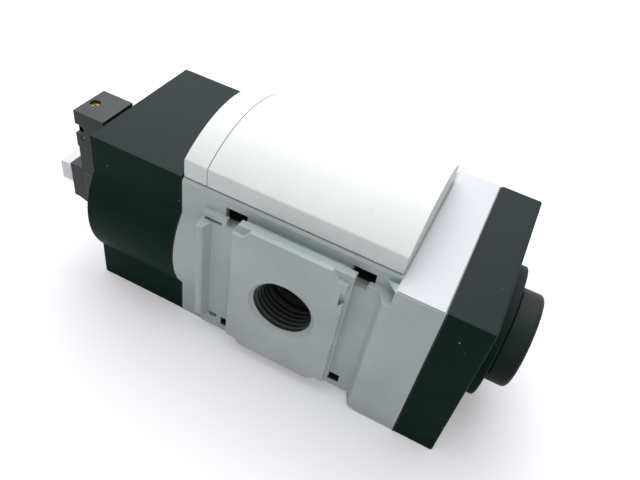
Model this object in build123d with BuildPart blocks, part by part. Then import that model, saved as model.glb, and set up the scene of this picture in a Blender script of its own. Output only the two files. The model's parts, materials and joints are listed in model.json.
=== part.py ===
from build123d import *
import os

os.makedirs("parts", exist_ok=True)

# The valve lies on its back: X runs from the pilot end to the exhaust end,
# Y runs from port face to port face, and Z rises from the back to the front cover.
# The origin is the middle of the footprint.

# Lengths along X
pin_cover_reach = 20.9      # pilot cap face to the tip of the pin cover
socket_reach = 16.4         # pilot cap face to the face of the pin socket
pilot_reach = 11.8          # pilot cap face to the face of the pilot head
coil_reach = 11.4
pilot_cap_length = 32.8
gasket_thickness = 0.5
body_length = 83.2
exhaust_cap_length = 13.2
collar_length = 3.9
plug_seal_length = 1.2
plug_head_length = 7.0

# Cross-section
core_width = 50.6
port_span = 62.0            # one port face to the other, the module grid
case_height = 60.0
body_drop = 0.6             # top of the end caps down to the top of the body
axis_rise = 0.3             # middle of the case up to the main axis
bulge_floor = 2.7           # back of the case up to the round swelling
bulge_offset = 2.9
edge_break = 0.6
fine_break = 0.4
position_match = 0.01       # positions closer than this count as the same

# Port faces: distances along the face from the port axis, heights from the back,
# and insets from the top of the body
port_offset = 38.8          # body face to port axis
port_major_radius = 10.48   # G1/2 thread root
port_thread_length = 14.0
port_mouth_chamfer = 0.9
port_drill_radius = 8.5
lip_thickness = 1.5
flange_half_width = 18.9
flange_bottom = 6.6
flange_top_inset = 3.1
flange_corner_width = 1.7
flange_corner_drop = 3.0
lip_bottom = 4.3
lip_top_inset = 2.8
lip_half_width = 12.7
lip_side_inset = 0.9
lip_corner = 2.4
lip_shoulder = 3.0
neck_inset = 1.5
crest_recess = 0.8
clamp_floor_height = 1.8      # core side out to the clamp floor beside the flange
clamp_floor_top_inset = 6.3
clamp_floor_bottom = 2.2
clamp_floor_bevel = 1.5
rail_inner = 28.2
rail_width = 2.3
rail_flank = 1.2
rail_crest = 0.8
rail_bottom = 10.2
rail_top_inset = 9.2
rail_slope = 2.3
end_rail_foot = 26.3          # port axis out to the foot of the rail at the exhaust end
end_rail_inner = 28.2
end_rail_bottom = 1.2
end_rail_crest = 1.2
end_block_inner = 30.4
window_inner = 16.7
window_outer = 23.8
window_floor_outer = 22.4
window_height = 5.7
window_low_height = 4.0
window_depth = 7.5
window_top_inset = 3.1
window_bottom = 4.4
slot_inner = 24.0
slot_outer = 27.0
slot_height = 2.1
slot_depth = 2.5
slot_bottom = 6.7
top_slot_outer = 29.8
top_slot_height = 1.3
top_slot_inset = 8.2
gusset_reach = 26.1           # port axis out to the tip of the gusset on the exhaust block
gusset_sink = 0.8
gusset_tip_inset = 3.4
gusset_root_inset = 4.6
gusset_ridge = 2.75
gusset_nose = 0.3
arrow_length = 5.4
arrow_width = 1.6
arrow_top_inset = 9.7
back_pocket_depth = 1.2
back_rim = 7.0
cut_overshoot = 1.0

# Main bore and its seats, along X from the body's pilot face
guide_length = 15.0
guide_radius = 7.0
spring_seat_radius = 14.0
spring_seat_depth = 3.0
supply_radius = 13.0
supply_end = 50.6
seat_thickness = 4.0
seat_hole_radius = 10.0
lip_height = 0.6
seat_lip_radius = 11.6
seat_lip_width = 1.2
poppet_thickness = 7.2
poppet_radius = 14.0
poppet_seal_outer = 13.5
poppet_seal_inner = 9.5
poppet_seal_depth = 2.0
poppet_near_recess = 1.4
poppet_far_recess = 1.5
poppet_recess_radius = 6.5
seat_groove_inset = 0.8
seat_groove_width = 2.2
seat_groove_depth = 1.95
main_stroke = 6.0
outlet_radius = 17.0
exhaust_radius = 19.0
outlet_channel_wall = 1.2
outlet_channel_depth = 4.5
outlet_channel_height = 14.0
outlet_channel_start = 1.0
outlet_channel_end = 2.0
outlet_step_depth = 7.0
pressed_clearance = 0.05
running_clearance = 0.08
seal_clearance = 0.05

# Piston, stem and return spring
chamber_wall = 4.6
chamber_depth = 26.3
piston_thickness = 9.0
piston_rest_gap = 4.4       # chamber end wall to the piston at rest
piston_seal_width = 4.0
piston_seal_depth = 3.5
piston_hub_recess = 3.2
piston_recess_radius = 6.5
stem_radius = 4.0
stem_tip_radius = 3.0
spring_mean_radius = 12.0
spring_wire_radius = 1.0
spring_turns = 5.0
spring_side_clearance = 0.5
spring_recess_depth = 4.0
nut_flat_radius = 5.0
nut_thickness = 3.0
spider_start = 1.5          # poppet nut at full stroke to the spider
spider_hub_radius = 5.0
spider_hub_length = 7.0
stem_tip_overhang = 0.4
spider_arm_width = 3.0
spider_arm_shift = 0.5
spider_arms = 3
stem_overrun = 2.0
bush_flange_radius = 10.0
bush_flange_thickness = 2.0
bush_groove_width = 2.2
bush_stem_ring_offset = 6.5
bush_body_ring_offset = 11.5
o_ring_radius = 0.9

# Fasteners
cap_screw_radius = 1.5
cap_screw_head_radius = 2.75
cap_screw_head_height = 3.0
cap_screw_inset = 3.7
hex_socket_share = 0.5        # half width of a hexagon socket over the head radius
hex_depth_share = 0.6         # depth of a hexagon socket over the head height
screw_edge = 5.0
cap_screw_grip = 10.0
screw_hole_extra = 1.0
end_screw_radius = 2.0
end_screw_head_radius = 3.5
end_screw_head_height = 4.0
end_screw_grip = 10.5
screw_clearance = 0.25
head_clearance = 0.2
head_sunk = 0.4

# Exhaust port and its closing plug
collar_radius = 21.8
exhaust_thread_radius = 13.22
exhaust_thread_length = 12.0
spigot_radius = 18.8
spigot_bore_radius = 15.0
plug_head_radius = 15.6
plug_rim_fillet = 1.6
plug_clearance = 0.12
plug_wall = 2.2
plug_spigot_length = 11.0
plug_dish_radius = 11.5
plug_dish_depth = 0.8
plug_seal_radius = 14.2

# Front cover
cover_half_width = 24.3
cover_gap = 0.4
cover_wall_height = 6.4
cover_arch_height = 14.5
cover_shell = 2.0
cover_end = 68.9            # body face to the end of the cover
band_length = 7.5
panel_gap = 0.25
cover_edge_fillet = 0.8
leg_length = 6.0
leg_thickness = 1.6
leg_depth = 2.0
leg_clearance = 0.15
rib_thickness = 1.6
label_thickness = 0.4
label_margin = 0.3

# Pilot valve, measured outwards from the pilot cap face
pilot_y = -11.1
pilot_width = 14.4
pilot_base = 3.5
head_rise = 0.3             # top of the pilot head above the end cap
head_thickness = 4.9
neck_reach = 10.3
neck_length = 3.4
block_reach = 11.9
block_thickness = 5.2
cross_hole_reach = 9.4
cross_hole_drop = 1.2
cross_hole_radius = 0.9
cross_hole_depth = 3.0
test_pocket_drop = 1.4
test_pocket_width = 1.2
coil_length = 24.4
pilot_foot_length = 4.9
socket_rise = 1.1
socket_length = 13.9
socket_flat = 1.9
socket_slant_reach = 11.6
coil_axis_reach = 7.45
winding_rise = 2.8
winding_top_inset = 1.8
winding_radius = 3.2
winding_clearance = 0.1
tube_radius = 1.8
tube_bore_radius = 1.5
pole_length = 6.8
armature_gap = 0.9
armature_stroke = 0.8
armature_pad_height = 0.75
armature_pad_radius = 0.9
armature_recess_radius = 1.1
armature_recess_depth = 5.0
armature_spring_wire = 0.12
armature_spring_radius = 0.85
armature_spring_turns = 7
nozzle_radius = 0.8
nozzle_bore_radius = 0.4
passage_overlap = 0.2
nozzle_chamber_radius = 1.7
nozzle_chamber_height = 1.6
yoke_thickness = 0.8
yoke_start = 4.5
yoke_end = 10.8
yoke_rise = 1.2
yoke_length = 12.2
duct_radius = 1.25
pilot_duct_radius = 0.6
supply_duct_inset = 5.0
work_duct_drop = 2.8
work_duct_reach = 1.9
duct_length = 20.0
duct_plug_length = 2.2
duct_plug_sunk = 0.2
pilot_gasket_inset = 0.7
pilot_screw_radius = 1.25
pilot_screw_head_radius = 2.2
pilot_screw_head_height = 2.0
pilot_screw_grip = 5.0
pilot_hole_extra = 0.5
pilot_screw_spread = 9.2
foot_screw_rise = 2.4
override_reach = 9.2
override_radius = 1.6
override_height = 3.0
override_sunk = 0.9
override_slot = 0.6
override_slot_depth = 0.9
override_shaft_radius = 0.7
override_shaft_length = 5.9
override_clearance = 0.06
override_ring_radius = 0.4
pin_spacing = 4.0
pin_width = 2.5
pin_thickness = 0.6
pin_root = 2.5
pin_tip_gap = 1.0
pin_cover_rise = 5.1
pin_cover_height = 7.6
pin_cover_wall = 0.8
pin_cover_half_width = 6.9
plinth_height = 1.4
plinth_clearance = 0.05
pin_cover_corner = 0.6

# The main axis and the radii that follow from the case
axis_height = case_height / 2 + axis_rise
bulge_radius = axis_height - bulge_floor
chamber_radius = bulge_radius - chamber_wall

# Stations along X
overall_length = (
    pin_cover_reach + pilot_cap_length + gasket_thickness + body_length + gasket_thickness
    + exhaust_cap_length + collar_length + plug_seal_length + plug_head_length
)
cap_x0 = -overall_length / 2 + pin_cover_reach
cap_x1 = cap_x0 + pilot_cap_length
body_x0 = cap_x1 + gasket_thickness
body_x1 = body_x0 + body_length
end_cap_x0 = body_x1 + gasket_thickness
end_cap_x1 = end_cap_x0 + exhaust_cap_length
collar_x1 = end_cap_x1 + collar_length
plug_x0 = collar_x1 + plug_seal_length
plug_x1 = plug_x0 + plug_head_length
port_x = body_x0 + port_offset
end_block_x0 = port_x + end_block_inner
rail_x0 = port_x - rail_inner - rail_width
rail_x1 = rail_x0 + rail_width
lip_side = flange_half_width - lip_side_inset
guide_x1 = body_x0 + guide_length
seat_x0 = body_x0 + supply_end
seat_x1 = seat_x0 + seat_thickness
poppet_x0 = seat_x1 + lip_height + seal_clearance
poppet_x1 = poppet_x0 + poppet_thickness
exhaust_seat_x0 = poppet_x1 + main_stroke + seal_clearance + lip_height
exhaust_seat_x1 = exhaust_seat_x0 + seat_thickness
piston_x0 = cap_x1 - chamber_depth + piston_rest_gap
piston_x1 = piston_x0 + piston_thickness
spider_x1 = exhaust_seat_x0 + spider_start + spider_hub_length
bush_stem_ring_x = body_x0 + bush_stem_ring_offset
bush_body_ring_x = body_x0 + bush_body_ring_offset
port_face_y = port_span / 2
core_y = core_width / 2
clamp_floor_y = core_y + clamp_floor_height
lip_back_y = port_face_y - lip_thickness
cap_screw_y = core_y - cap_screw_inset
end_screw_y = port_face_y - screw_edge
screw_pitch = case_height - 2 * screw_edge

# Heights
body_top = case_height - body_drop
flange_top = body_top - flange_top_inset
lip_top = body_top - lip_top_inset
clamp_floor_top = body_top - clamp_floor_top_inset
rail_top = body_top - rail_top_inset
window_top = body_top - window_top_inset
top_slot_top = body_top - top_slot_inset
arrow_top = body_top - arrow_top_inset
cover_wall_top = body_top + cover_wall_height
cover_crown = body_top + cover_arch_height
head_top = case_height + head_rise
head_bottom = head_top - head_thickness
neck_bottom = head_bottom - neck_length
block_bottom = neck_bottom - block_thickness
coil_bottom = block_bottom - coil_length
pilot_foot = coil_bottom - pilot_foot_length
socket_bottom = coil_bottom + socket_rise
socket_top = socket_bottom + socket_length
winding_bottom = coil_bottom + winding_rise
winding_top = block_bottom - winding_top_inset
pole_top = winding_bottom + pole_length
yoke_bottom = coil_bottom + yoke_rise
yoke_top = yoke_bottom + yoke_length
supply_duct_height = case_height - supply_duct_inset
work_duct_height = block_bottom - work_duct_drop
pilot_screw_height = (neck_bottom + block_bottom) / 2
foot_screw_height = pilot_foot + foot_screw_rise
override_shaft_end = head_top - override_sunk - override_height - override_shaft_length
override_ring_height = override_shaft_end + 2 * override_ring_radius
pin_cover_bottom = socket_bottom + pin_cover_rise
pin_cover_top = pin_cover_bottom + pin_cover_height

# Planes that look outwards from the end faces
pilot_end_plane = Plane(origin=(cap_x0, 0, case_height / 2), x_dir=(0, -1, 0), z_dir=(-1, 0, 0))
exhaust_end_plane = Plane(origin=(end_cap_x1, 0, case_height / 2), x_dir=(0, 1, 0), z_dir=(1, 0, 0))


def pilot_x(reach):
    return cap_x0 - reach


def save(part, name):
    part.label = name
    export_step(part, f"parts/{name}.step")


def disc(x0, x1, radius, mode=Mode.ADD):
    # A cylinder on the main axis between two stations
    with BuildSketch(Plane.YZ.offset(x0)) as section:
        with Locations((0, axis_height)):
            Circle(radius)
    extrude(section.sketch, amount=x1 - x0, mode=mode)


def ring(x0, x1, outer, inner, mode=Mode.ADD):
    # A plain ring on the main axis
    with BuildSketch(Plane.YZ.offset(x0)) as section:
        with Locations((0, axis_height)):
            Circle(outer)
            Circle(inner, mode=Mode.SUBTRACT)
    extrude(section.sketch, amount=x1 - x0, mode=mode)


def slab(x0, x1, y0, y1, z0, z1, mode=Mode.ADD):
    # A block between two opposite corners
    with Locations(((x0 + x1) / 2, (y0 + y1) / 2, (z0 + z1) / 2)):
        Box(x1 - x0, y1 - y0, z1 - z0, mode=mode)


def upright(x, y, z0, z1, radius, mode=Mode.ADD):
    # A cylinder along Z
    with BuildSketch(Plane.XY.offset(z0)) as section:
        with Locations((x, y)):
            Circle(radius)
    extrude(section.sketch, amount=z1 - z0, mode=mode)


def bulged_block(x0, x1, height):
    # The section of the pilot end: flat sides with a round swelling over the piston chamber
    with BuildSketch(Plane.YZ.offset(x0)) as section:
        with Locations((0, height / 2)):
            Rectangle(core_width, height)
        with Locations((bulge_offset, axis_height), (-bulge_offset, axis_height)):
            Circle(bulge_radius)
    extrude(section.sketch, amount=x1 - x0)


# Cast body: core, swelling, port flanges, clamp rails and the block at the exhaust end
with BuildPart() as valve_body:
    with BuildSketch(Plane.YZ.offset(body_x0)):
        with Locations((0, body_top / 2)):
            Rectangle(core_width, body_top)
    extrude(amount=body_length)
    bulged_block(body_x0, rail_x0 + rail_width / 2, body_top)

    # One port face, drawn looking along +Y from outside
    with BuildSketch(Plane.XZ.offset(core_y)):
        with Locations((port_x, (flange_top + flange_bottom) / 2)):
            Rectangle(2 * (flange_half_width - neck_inset), flange_top - flange_bottom - 2 * neck_inset)
    extrude(amount=clamp_floor_height)
    with BuildSketch(Plane.XZ.offset(clamp_floor_y)):
        with BuildLine():
            Polyline(
                (port_x - flange_half_width, flange_bottom),
                (port_x + flange_half_width, flange_bottom),
                (port_x + flange_half_width, flange_top),
                (port_x - flange_half_width + flange_corner_width, flange_top),
                (port_x - flange_half_width, flange_top - flange_corner_drop),
                close=True,
            )
        make_face()
    extrude(amount=lip_back_y - clamp_floor_y)
    with BuildSketch(Plane.XZ.offset(lip_back_y)):
        with BuildLine():
            Polyline(
                (port_x - lip_side, flange_bottom),
                (port_x - lip_half_width - lip_corner, flange_bottom),
                (port_x - lip_half_width, lip_bottom),
                (port_x + lip_half_width, lip_bottom),
                (port_x + lip_half_width + lip_corner, flange_bottom),
                (port_x + lip_side, flange_bottom),
                (port_x + lip_side, lip_top - lip_shoulder),
                (port_x + lip_half_width + lip_corner, lip_top - lip_shoulder),
                (port_x + lip_half_width, lip_top),
                (port_x - lip_half_width, lip_top),
                (port_x - lip_half_width - lip_corner, lip_top - lip_shoulder),
                (port_x - lip_side, lip_top - lip_shoulder),
                close=True,
            )
        make_face()
    extrude(amount=lip_thickness)

    # Clamp floor on both sides of the flange, and the rails that close it off
    with BuildSketch(Plane.XY.offset(clamp_floor_bottom)):
        with BuildLine():
            Polyline(
                (rail_x0 - clamp_floor_bevel / 2, -core_y),
                (rail_x0 + clamp_floor_bevel / 2, -clamp_floor_y),
                (end_block_x0, -clamp_floor_y),
                (end_block_x0, -core_y),
                close=True,
            )
        make_face()
    extrude(amount=clamp_floor_top - clamp_floor_bottom)
    with BuildSketch(Plane.XY.offset(rail_bottom - rail_slope)):
        with BuildLine():
            Polyline(
                (rail_x0, -core_y),
                (rail_x0, -port_face_y),
                (rail_x1, -port_face_y),
                (rail_x1 + rail_flank, -clamp_floor_y),
                (rail_x1 + rail_flank, -core_y),
                close=True,
            )
        make_face()
    extrude(amount=rail_top - rail_bottom + rail_slope)
    with BuildSketch(Plane.YZ.offset(rail_x0)):
        with BuildLine():
            Polyline(
                (-port_face_y + rail_slope, rail_bottom - rail_slope),
                (-port_face_y, rail_bottom - rail_slope),
                (-port_face_y, rail_bottom),
                close=True,
            )
        make_face()
    extrude(amount=rail_width + rail_flank, mode=Mode.SUBTRACT)
    with BuildSketch(Plane.XY.offset(end_rail_bottom)):
        with BuildLine():
            Polyline(
                (port_x + end_rail_foot, -clamp_floor_y),
                (port_x + end_rail_inner, -port_face_y),
                (end_block_x0, -port_face_y),
                (end_block_x0, -clamp_floor_y),
                close=True,
            )
        make_face()
    extrude(amount=clamp_floor_top - end_rail_bottom)
    slab(end_block_x0, body_x1, -port_face_y, 0, 0, body_top)

    # Gusset from the core side to the corner of the exhaust block
    with BuildSketch(Plane.YZ.offset(end_block_x0), mode=Mode.PRIVATE) as gusset_root:
        with BuildLine():
            Polyline(
                (-core_y + gusset_sink, body_top - gusset_root_inset),
                (-port_face_y, body_top - gusset_nose),
                (-port_face_y + gusset_ridge, body_top),
                (-core_y + gusset_sink, body_top - gusset_tip_inset),
                close=True,
            )
        make_face()
    gusset_tip = Vertex(port_x + gusset_reach, -core_y + gusset_sink, body_top - gusset_tip_inset)
    loft([gusset_root.sketch.face(), gusset_tip])

    # Softened crests of the rails and rim of the port face
    rail_crests = valve_body.edges().filter_by(Axis.Z).filter_by(
        lambda e: abs(e.center().Y + port_face_y) < position_match and (
            abs(e.center().X - rail_x0) < position_match or abs(e.center().X - rail_x1) < position_match
        )
    )
    fillet(rail_crests, rail_crest)
    end_crest = valve_body.edges().filter_by(Axis.Z).filter_by(
        lambda e: abs(e.center().Y + port_face_y) < position_match
        and abs(e.center().X - port_x - end_rail_inner) < position_match
    )
    fillet(end_crest, end_rail_crest)
    lip_rim = valve_body.faces().filter_by(Axis.Y).filter_by(
        lambda f: abs(f.center().Y + port_face_y) < position_match and abs(f.center().X - port_x) < 1
    )[0].edges()
    fillet(lip_rim, fine_break)
    slab(port_x - window_inner, port_x + window_inner, -core_y, -core_y + crest_recess,
         flange_top - neck_inset, body_top, mode=Mode.SUBTRACT)
    mirror(about=Plane.XZ)

    # Clamp windows at both ends of each floor, and slots beside the pilot end rail
    for face in (-1, 1):
        wall_y = sorted((face * (core_y - window_depth), face * core_y))
        floor_y = sorted((face * (core_y - window_depth), face * clamp_floor_y))
        slot_y = sorted((face * (core_y - slot_depth), face * clamp_floor_y))
        for side in (-1, 1):
            wall_x = sorted((port_x + side * window_inner, port_x + side * window_outer))
            floor_x = sorted((port_x + side * window_inner, port_x + side * window_floor_outer))
            slab(*wall_x, *wall_y, window_top - window_height, window_top, mode=Mode.SUBTRACT)
            slab(*floor_x, *floor_y, window_top - window_height, window_top, mode=Mode.SUBTRACT)
            slab(*floor_x, *floor_y, window_bottom, window_bottom + window_low_height, mode=Mode.SUBTRACT)
        slab(port_x - slot_outer, port_x - slot_inner, *slot_y,
             slot_bottom, slot_bottom + slot_height, mode=Mode.SUBTRACT)
        slab(port_x - top_slot_outer, port_x - slot_inner, *slot_y,
             top_slot_top - top_slot_height, top_slot_top, mode=Mode.SUBTRACT)

    # Flow mark cut into the edge of each flange
    for face in (-1, 1):
        with BuildSketch(Plane.XZ.offset(-face * port_face_y)):
            with BuildLine():
                Polyline(
                    (port_x + lip_side + cut_overshoot, arrow_top),
                    (port_x + lip_side - arrow_width, arrow_top),
                    (port_x + lip_side - arrow_width, arrow_top - arrow_length),
                    (port_x + lip_side + cut_overshoot, arrow_top - arrow_length / 2),
                    close=True,
                )
            make_face()
        extrude(amount=face * lip_thickness, mode=Mode.SUBTRACT)

    # Main bore in four steps, and the seat of the return spring
    disc(body_x0, body_x1, guide_radius, Mode.SUBTRACT)
    disc(body_x0, body_x0 + spring_seat_depth, spring_seat_radius, Mode.SUBTRACT)
    disc(guide_x1, body_x1, supply_radius, Mode.SUBTRACT)
    disc(seat_x0, body_x1, outlet_radius, Mode.SUBTRACT)
    disc(exhaust_seat_x0, body_x1, exhaust_radius, Mode.SUBTRACT)

    # Threaded ports: the near one opens into the supply chamber,
    # the far one leads through a cast channel into the outlet chamber
    for face in (-1, 1):
        with BuildSketch(Plane.XZ.offset(-face * port_face_y)):
            with Locations((port_x, axis_height)):
                Circle(port_major_radius)
        extrude(amount=face * port_thread_length, mode=Mode.SUBTRACT)
    with BuildSketch(Plane.XZ.offset(port_face_y - port_thread_length)):
        with Locations((port_x, axis_height)):
            Circle(port_drill_radius)
    extrude(amount=-(port_face_y - port_thread_length), mode=Mode.SUBTRACT)
    channel_y = outlet_radius + outlet_channel_wall
    channel_x1 = exhaust_seat_x0 - outlet_channel_end
    channel_z = (axis_height - outlet_channel_height / 2, axis_height + outlet_channel_height / 2)
    slab(port_x - port_drill_radius, channel_x1,
         channel_y, channel_y + outlet_channel_depth, *channel_z, Mode.SUBTRACT)
    slab(seat_x1 + outlet_channel_start, channel_x1,
         channel_y - outlet_step_depth, channel_y + outlet_channel_depth, *channel_z, Mode.SUBTRACT)
    mouths = valve_body.edges().filter_by(GeomType.CIRCLE).filter_by(
        lambda e: abs(e.radius - port_major_radius) < position_match
        and abs(abs(e.arc_center.Y) - port_face_y) < position_match
    )
    chamfer(mouths, port_mouth_chamfer)

    # Pilot supply duct, drilled in from the end face and down from the top
    with BuildSketch(Plane.YZ.offset(body_x0)):
        with Locations((pilot_y, supply_duct_height)):
            Circle(duct_radius)
    extrude(amount=duct_length, mode=Mode.SUBTRACT)
    upright(body_x0 + duct_length, pilot_y, axis_height, body_top, duct_radius, Mode.SUBTRACT)

    # Threaded holes for the cap screws
    with BuildSketch(Plane.YZ.offset(body_x0)):
        with Locations((0, case_height / 2)):
            with GridLocations(2 * cap_screw_y, screw_pitch, 2, 2):
                Circle(cap_screw_radius + pressed_clearance)
    extrude(amount=cap_screw_grip + screw_hole_extra, mode=Mode.SUBTRACT)
    with BuildSketch(Plane.YZ.offset(body_x1)):
        with Locations((0, case_height / 2)):
            with GridLocations(2 * end_screw_y, screw_pitch, 2, 2):
                Circle(end_screw_radius + pressed_clearance)
    extrude(amount=-(end_screw_grip + screw_hole_extra), mode=Mode.SUBTRACT)

    # Sockets for the legs of the front cover, and a cored pocket in the back
    for leg_x in (
        body_x0 + band_length / 2,
        body_x0 + band_length + panel_gap + 2 * leg_length,
        body_x0 + cover_end - 2 * leg_length,
    ):
        for face in (-1, 1):
            leg_y = face * (cover_half_width - cover_shell - leg_thickness / 2)
            slab(leg_x - leg_length / 2 - leg_clearance, leg_x + leg_length / 2 + leg_clearance,
                 leg_y - leg_thickness / 2 - leg_clearance, leg_y + leg_thickness / 2 + leg_clearance,
                 body_top - leg_depth - leg_clearance, body_top, Mode.SUBTRACT)
    slab(body_x0 + 2 * back_rim, end_block_x0 - back_rim, back_rim - core_y, core_y - back_rim,
         0, back_pocket_depth, Mode.SUBTRACT)

    # Softened edges of the casting
    soft = valve_body.edges().filter_by(Axis.X).filter_by(
        lambda e: abs(e.center().Z) < position_match and abs(abs(e.center().Y) - port_face_y) < position_match
    )
    fillet(soft, edge_break)
    crest = valve_body.edges().filter_by(Axis.X).filter_by(
        lambda e: abs(e.center().Z - body_top) < position_match
        and abs(abs(e.center().Y) - core_y) < position_match
    )
    chamfer(crest, edge_break)
save(valve_body.part, "valve_body")

# Pilot end cap with the piston chamber inside
with BuildPart() as pilot_cap:
    bulged_block(cap_x0, cap_x1, case_height)
    rim = pilot_cap.faces().sort_by(Axis.X)[0].edges()
    fillet(rim, edge_break)
    corners = pilot_cap.edges().filter_by(Axis.X).filter_by(
        lambda e: min(e.center().Z, case_height - e.center().Z) < position_match
    )
    fillet(corners, fine_break)
    disc(cap_x1 - chamber_depth, cap_x1, chamber_radius, Mode.SUBTRACT)
    with Locations(pilot_end_plane):
        with GridLocations(2 * cap_screw_y, screw_pitch, 2, 2):
            CounterBoreHole(
                cap_screw_radius + screw_clearance,
                cap_screw_head_radius + head_clearance,
                cap_screw_head_height + head_sunk,
            )
    with BuildSketch(Plane.YZ.offset(cap_x0)):
        with Locations((pilot_y, supply_duct_height)):
            Circle(duct_radius)
    extrude(amount=pilot_cap_length, mode=Mode.SUBTRACT)
    with BuildSketch(Plane.YZ.offset(cap_x0)):
        with Locations((pilot_y, work_duct_height)):
            Circle(duct_radius)
    extrude(amount=pilot_cap_length / 2, mode=Mode.SUBTRACT)
    with BuildSketch(Plane.YZ.offset(cap_x0)):
        with Locations((pilot_y, pilot_screw_height)):
            with GridLocations(pilot_screw_spread, 0, 2, 1):
                Circle(pilot_screw_radius + pressed_clearance)
        with Locations((pilot_y, foot_screw_height)):
            Circle(pilot_screw_radius + pressed_clearance)
    extrude(amount=pilot_screw_grip + pilot_hole_extra, mode=Mode.SUBTRACT)
save(pilot_cap.part, "pilot_cap")

# Gasket between pilot cap and body
with BuildPart() as pilot_cap_gasket:
    bulged_block(cap_x1, body_x0, body_top)
    disc(cap_x1, body_x0, chamber_radius, Mode.SUBTRACT)
    with BuildSketch(Plane.YZ.offset(cap_x1)):
        with Locations((pilot_y, supply_duct_height)):
            Circle(duct_radius)
        with Locations((0, case_height / 2)):
            with GridLocations(2 * cap_screw_y, screw_pitch, 2, 2):
                Circle(cap_screw_radius + screw_clearance)
    extrude(amount=gasket_thickness, mode=Mode.SUBTRACT)
save(pilot_cap_gasket.part, "pilot_cap_gasket")

# Exhaust end cap: block, round collar, threaded exhaust port, and the spigot that holds the far seat
with BuildPart() as exhaust_cap:
    slab(end_cap_x0, end_cap_x1, -port_face_y, port_face_y, 0, case_height)
    fillet(exhaust_cap.faces().sort_by(Axis.X)[-1].edges(), edge_break)
    fillet(exhaust_cap.edges().filter_by(Axis.X), fine_break)
    disc(end_cap_x1, collar_x1, collar_radius)
    collar_rim = exhaust_cap.edges().filter_by(GeomType.CIRCLE).sort_by(Axis.X)[-1]
    fillet(collar_rim, edge_break)
    disc(exhaust_seat_x1, end_cap_x0, spigot_radius)
    disc(exhaust_seat_x1, collar_x1 - exhaust_thread_length, spigot_bore_radius, Mode.SUBTRACT)
    disc(collar_x1 - exhaust_thread_length, collar_x1, exhaust_thread_radius, Mode.SUBTRACT)
    with Locations(exhaust_end_plane):
        with GridLocations(2 * end_screw_y, screw_pitch, 2, 2):
            CounterBoreHole(
                end_screw_radius + screw_clearance,
                end_screw_head_radius + head_clearance,
                end_screw_head_height + head_sunk,
            )
save(exhaust_cap.part, "exhaust_cap")

# Gasket between body and exhaust cap
with BuildPart() as exhaust_cap_gasket:
    slab(body_x1, end_cap_x0, -port_face_y, port_face_y, 0, body_top)
    disc(body_x1, end_cap_x0, exhaust_radius, Mode.SUBTRACT)
    with BuildSketch(Plane.YZ.offset(body_x1)):
        with Locations((0, case_height / 2)):
            with GridLocations(2 * end_screw_y, screw_pitch, 2, 2):
                Circle(end_screw_radius + screw_clearance)
    extrude(amount=gasket_thickness, mode=Mode.SUBTRACT)
save(exhaust_cap_gasket.part, "exhaust_cap_gasket")


def cap_screw(head_x, direction, radius, head_radius, head_height, grip):
    # A socket head screw lying along X, its head outwards at head_x
    head_centre = head_x + direction * head_height / 2
    with Locations((head_centre, 0, 0)):
        Cylinder(head_radius, head_height, rotation=(0, 90, 0))
    shank_centre = head_x + direction * (head_height + grip / 2)
    with Locations((shank_centre, 0, 0)):
        Cylinder(radius, grip, rotation=(0, 90, 0))
    with BuildSketch(Plane.YZ.offset(head_x)) as socket:
        RegularPolygon(head_radius * hex_socket_share, 6, major_radius=False)
    extrude(socket.sketch, amount=direction * head_height * hex_depth_share, mode=Mode.SUBTRACT)


def screw_set(head_x, direction, sizes, places):
    # The same screw at each (y, z) place
    with BuildPart(mode=Mode.PRIVATE) as screw:
        cap_screw(head_x, direction, *sizes)
    with BuildPart() as screws:
        for y, z in places:
            add(screw.part.moved(Location((0, y, z))))
    return screws.part


cap_places = [
    (y, case_height / 2 + z)
    for y in (-cap_screw_y, cap_screw_y)
    for z in (-screw_pitch / 2, screw_pitch / 2)
]
end_places = [
    (y, case_height / 2 + z)
    for y in (-end_screw_y, end_screw_y)
    for z in (-screw_pitch / 2, screw_pitch / 2)
]
cap_screw_shank = pilot_cap_length - cap_screw_head_height - head_sunk + gasket_thickness + cap_screw_grip
end_screw_shank = exhaust_cap_length - end_screw_head_height - head_sunk + gasket_thickness + end_screw_grip
save(
    screw_set(
        cap_x0 + head_sunk,
        1,
        (cap_screw_radius, cap_screw_head_radius, cap_screw_head_height, cap_screw_shank),
        cap_places,
    ),
    "pilot_cap_screws",
)
save(
    screw_set(
        end_cap_x1 - head_sunk,
        -1,
        (end_screw_radius, end_screw_head_radius, end_screw_head_height, end_screw_shank),
        end_places,
    ),
    "exhaust_cap_screws",
)


def cover_section(x0, x1, half_width, wall_top, crown, bottom, mode=Mode.ADD):
    # A slice of the cover: upright walls under a shallow arch
    with BuildSketch(Plane.YZ.offset(x0)) as section:
        with BuildLine():
            Polyline(
                (half_width, wall_top),
                (half_width, bottom),
                (-half_width, bottom),
                (-half_width, wall_top),
            )
            ThreePointArc((-half_width, wall_top), (0, crown), (half_width, wall_top))
        make_face()
    extrude(section.sketch, amount=x1 - x0, mode=mode)


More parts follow.
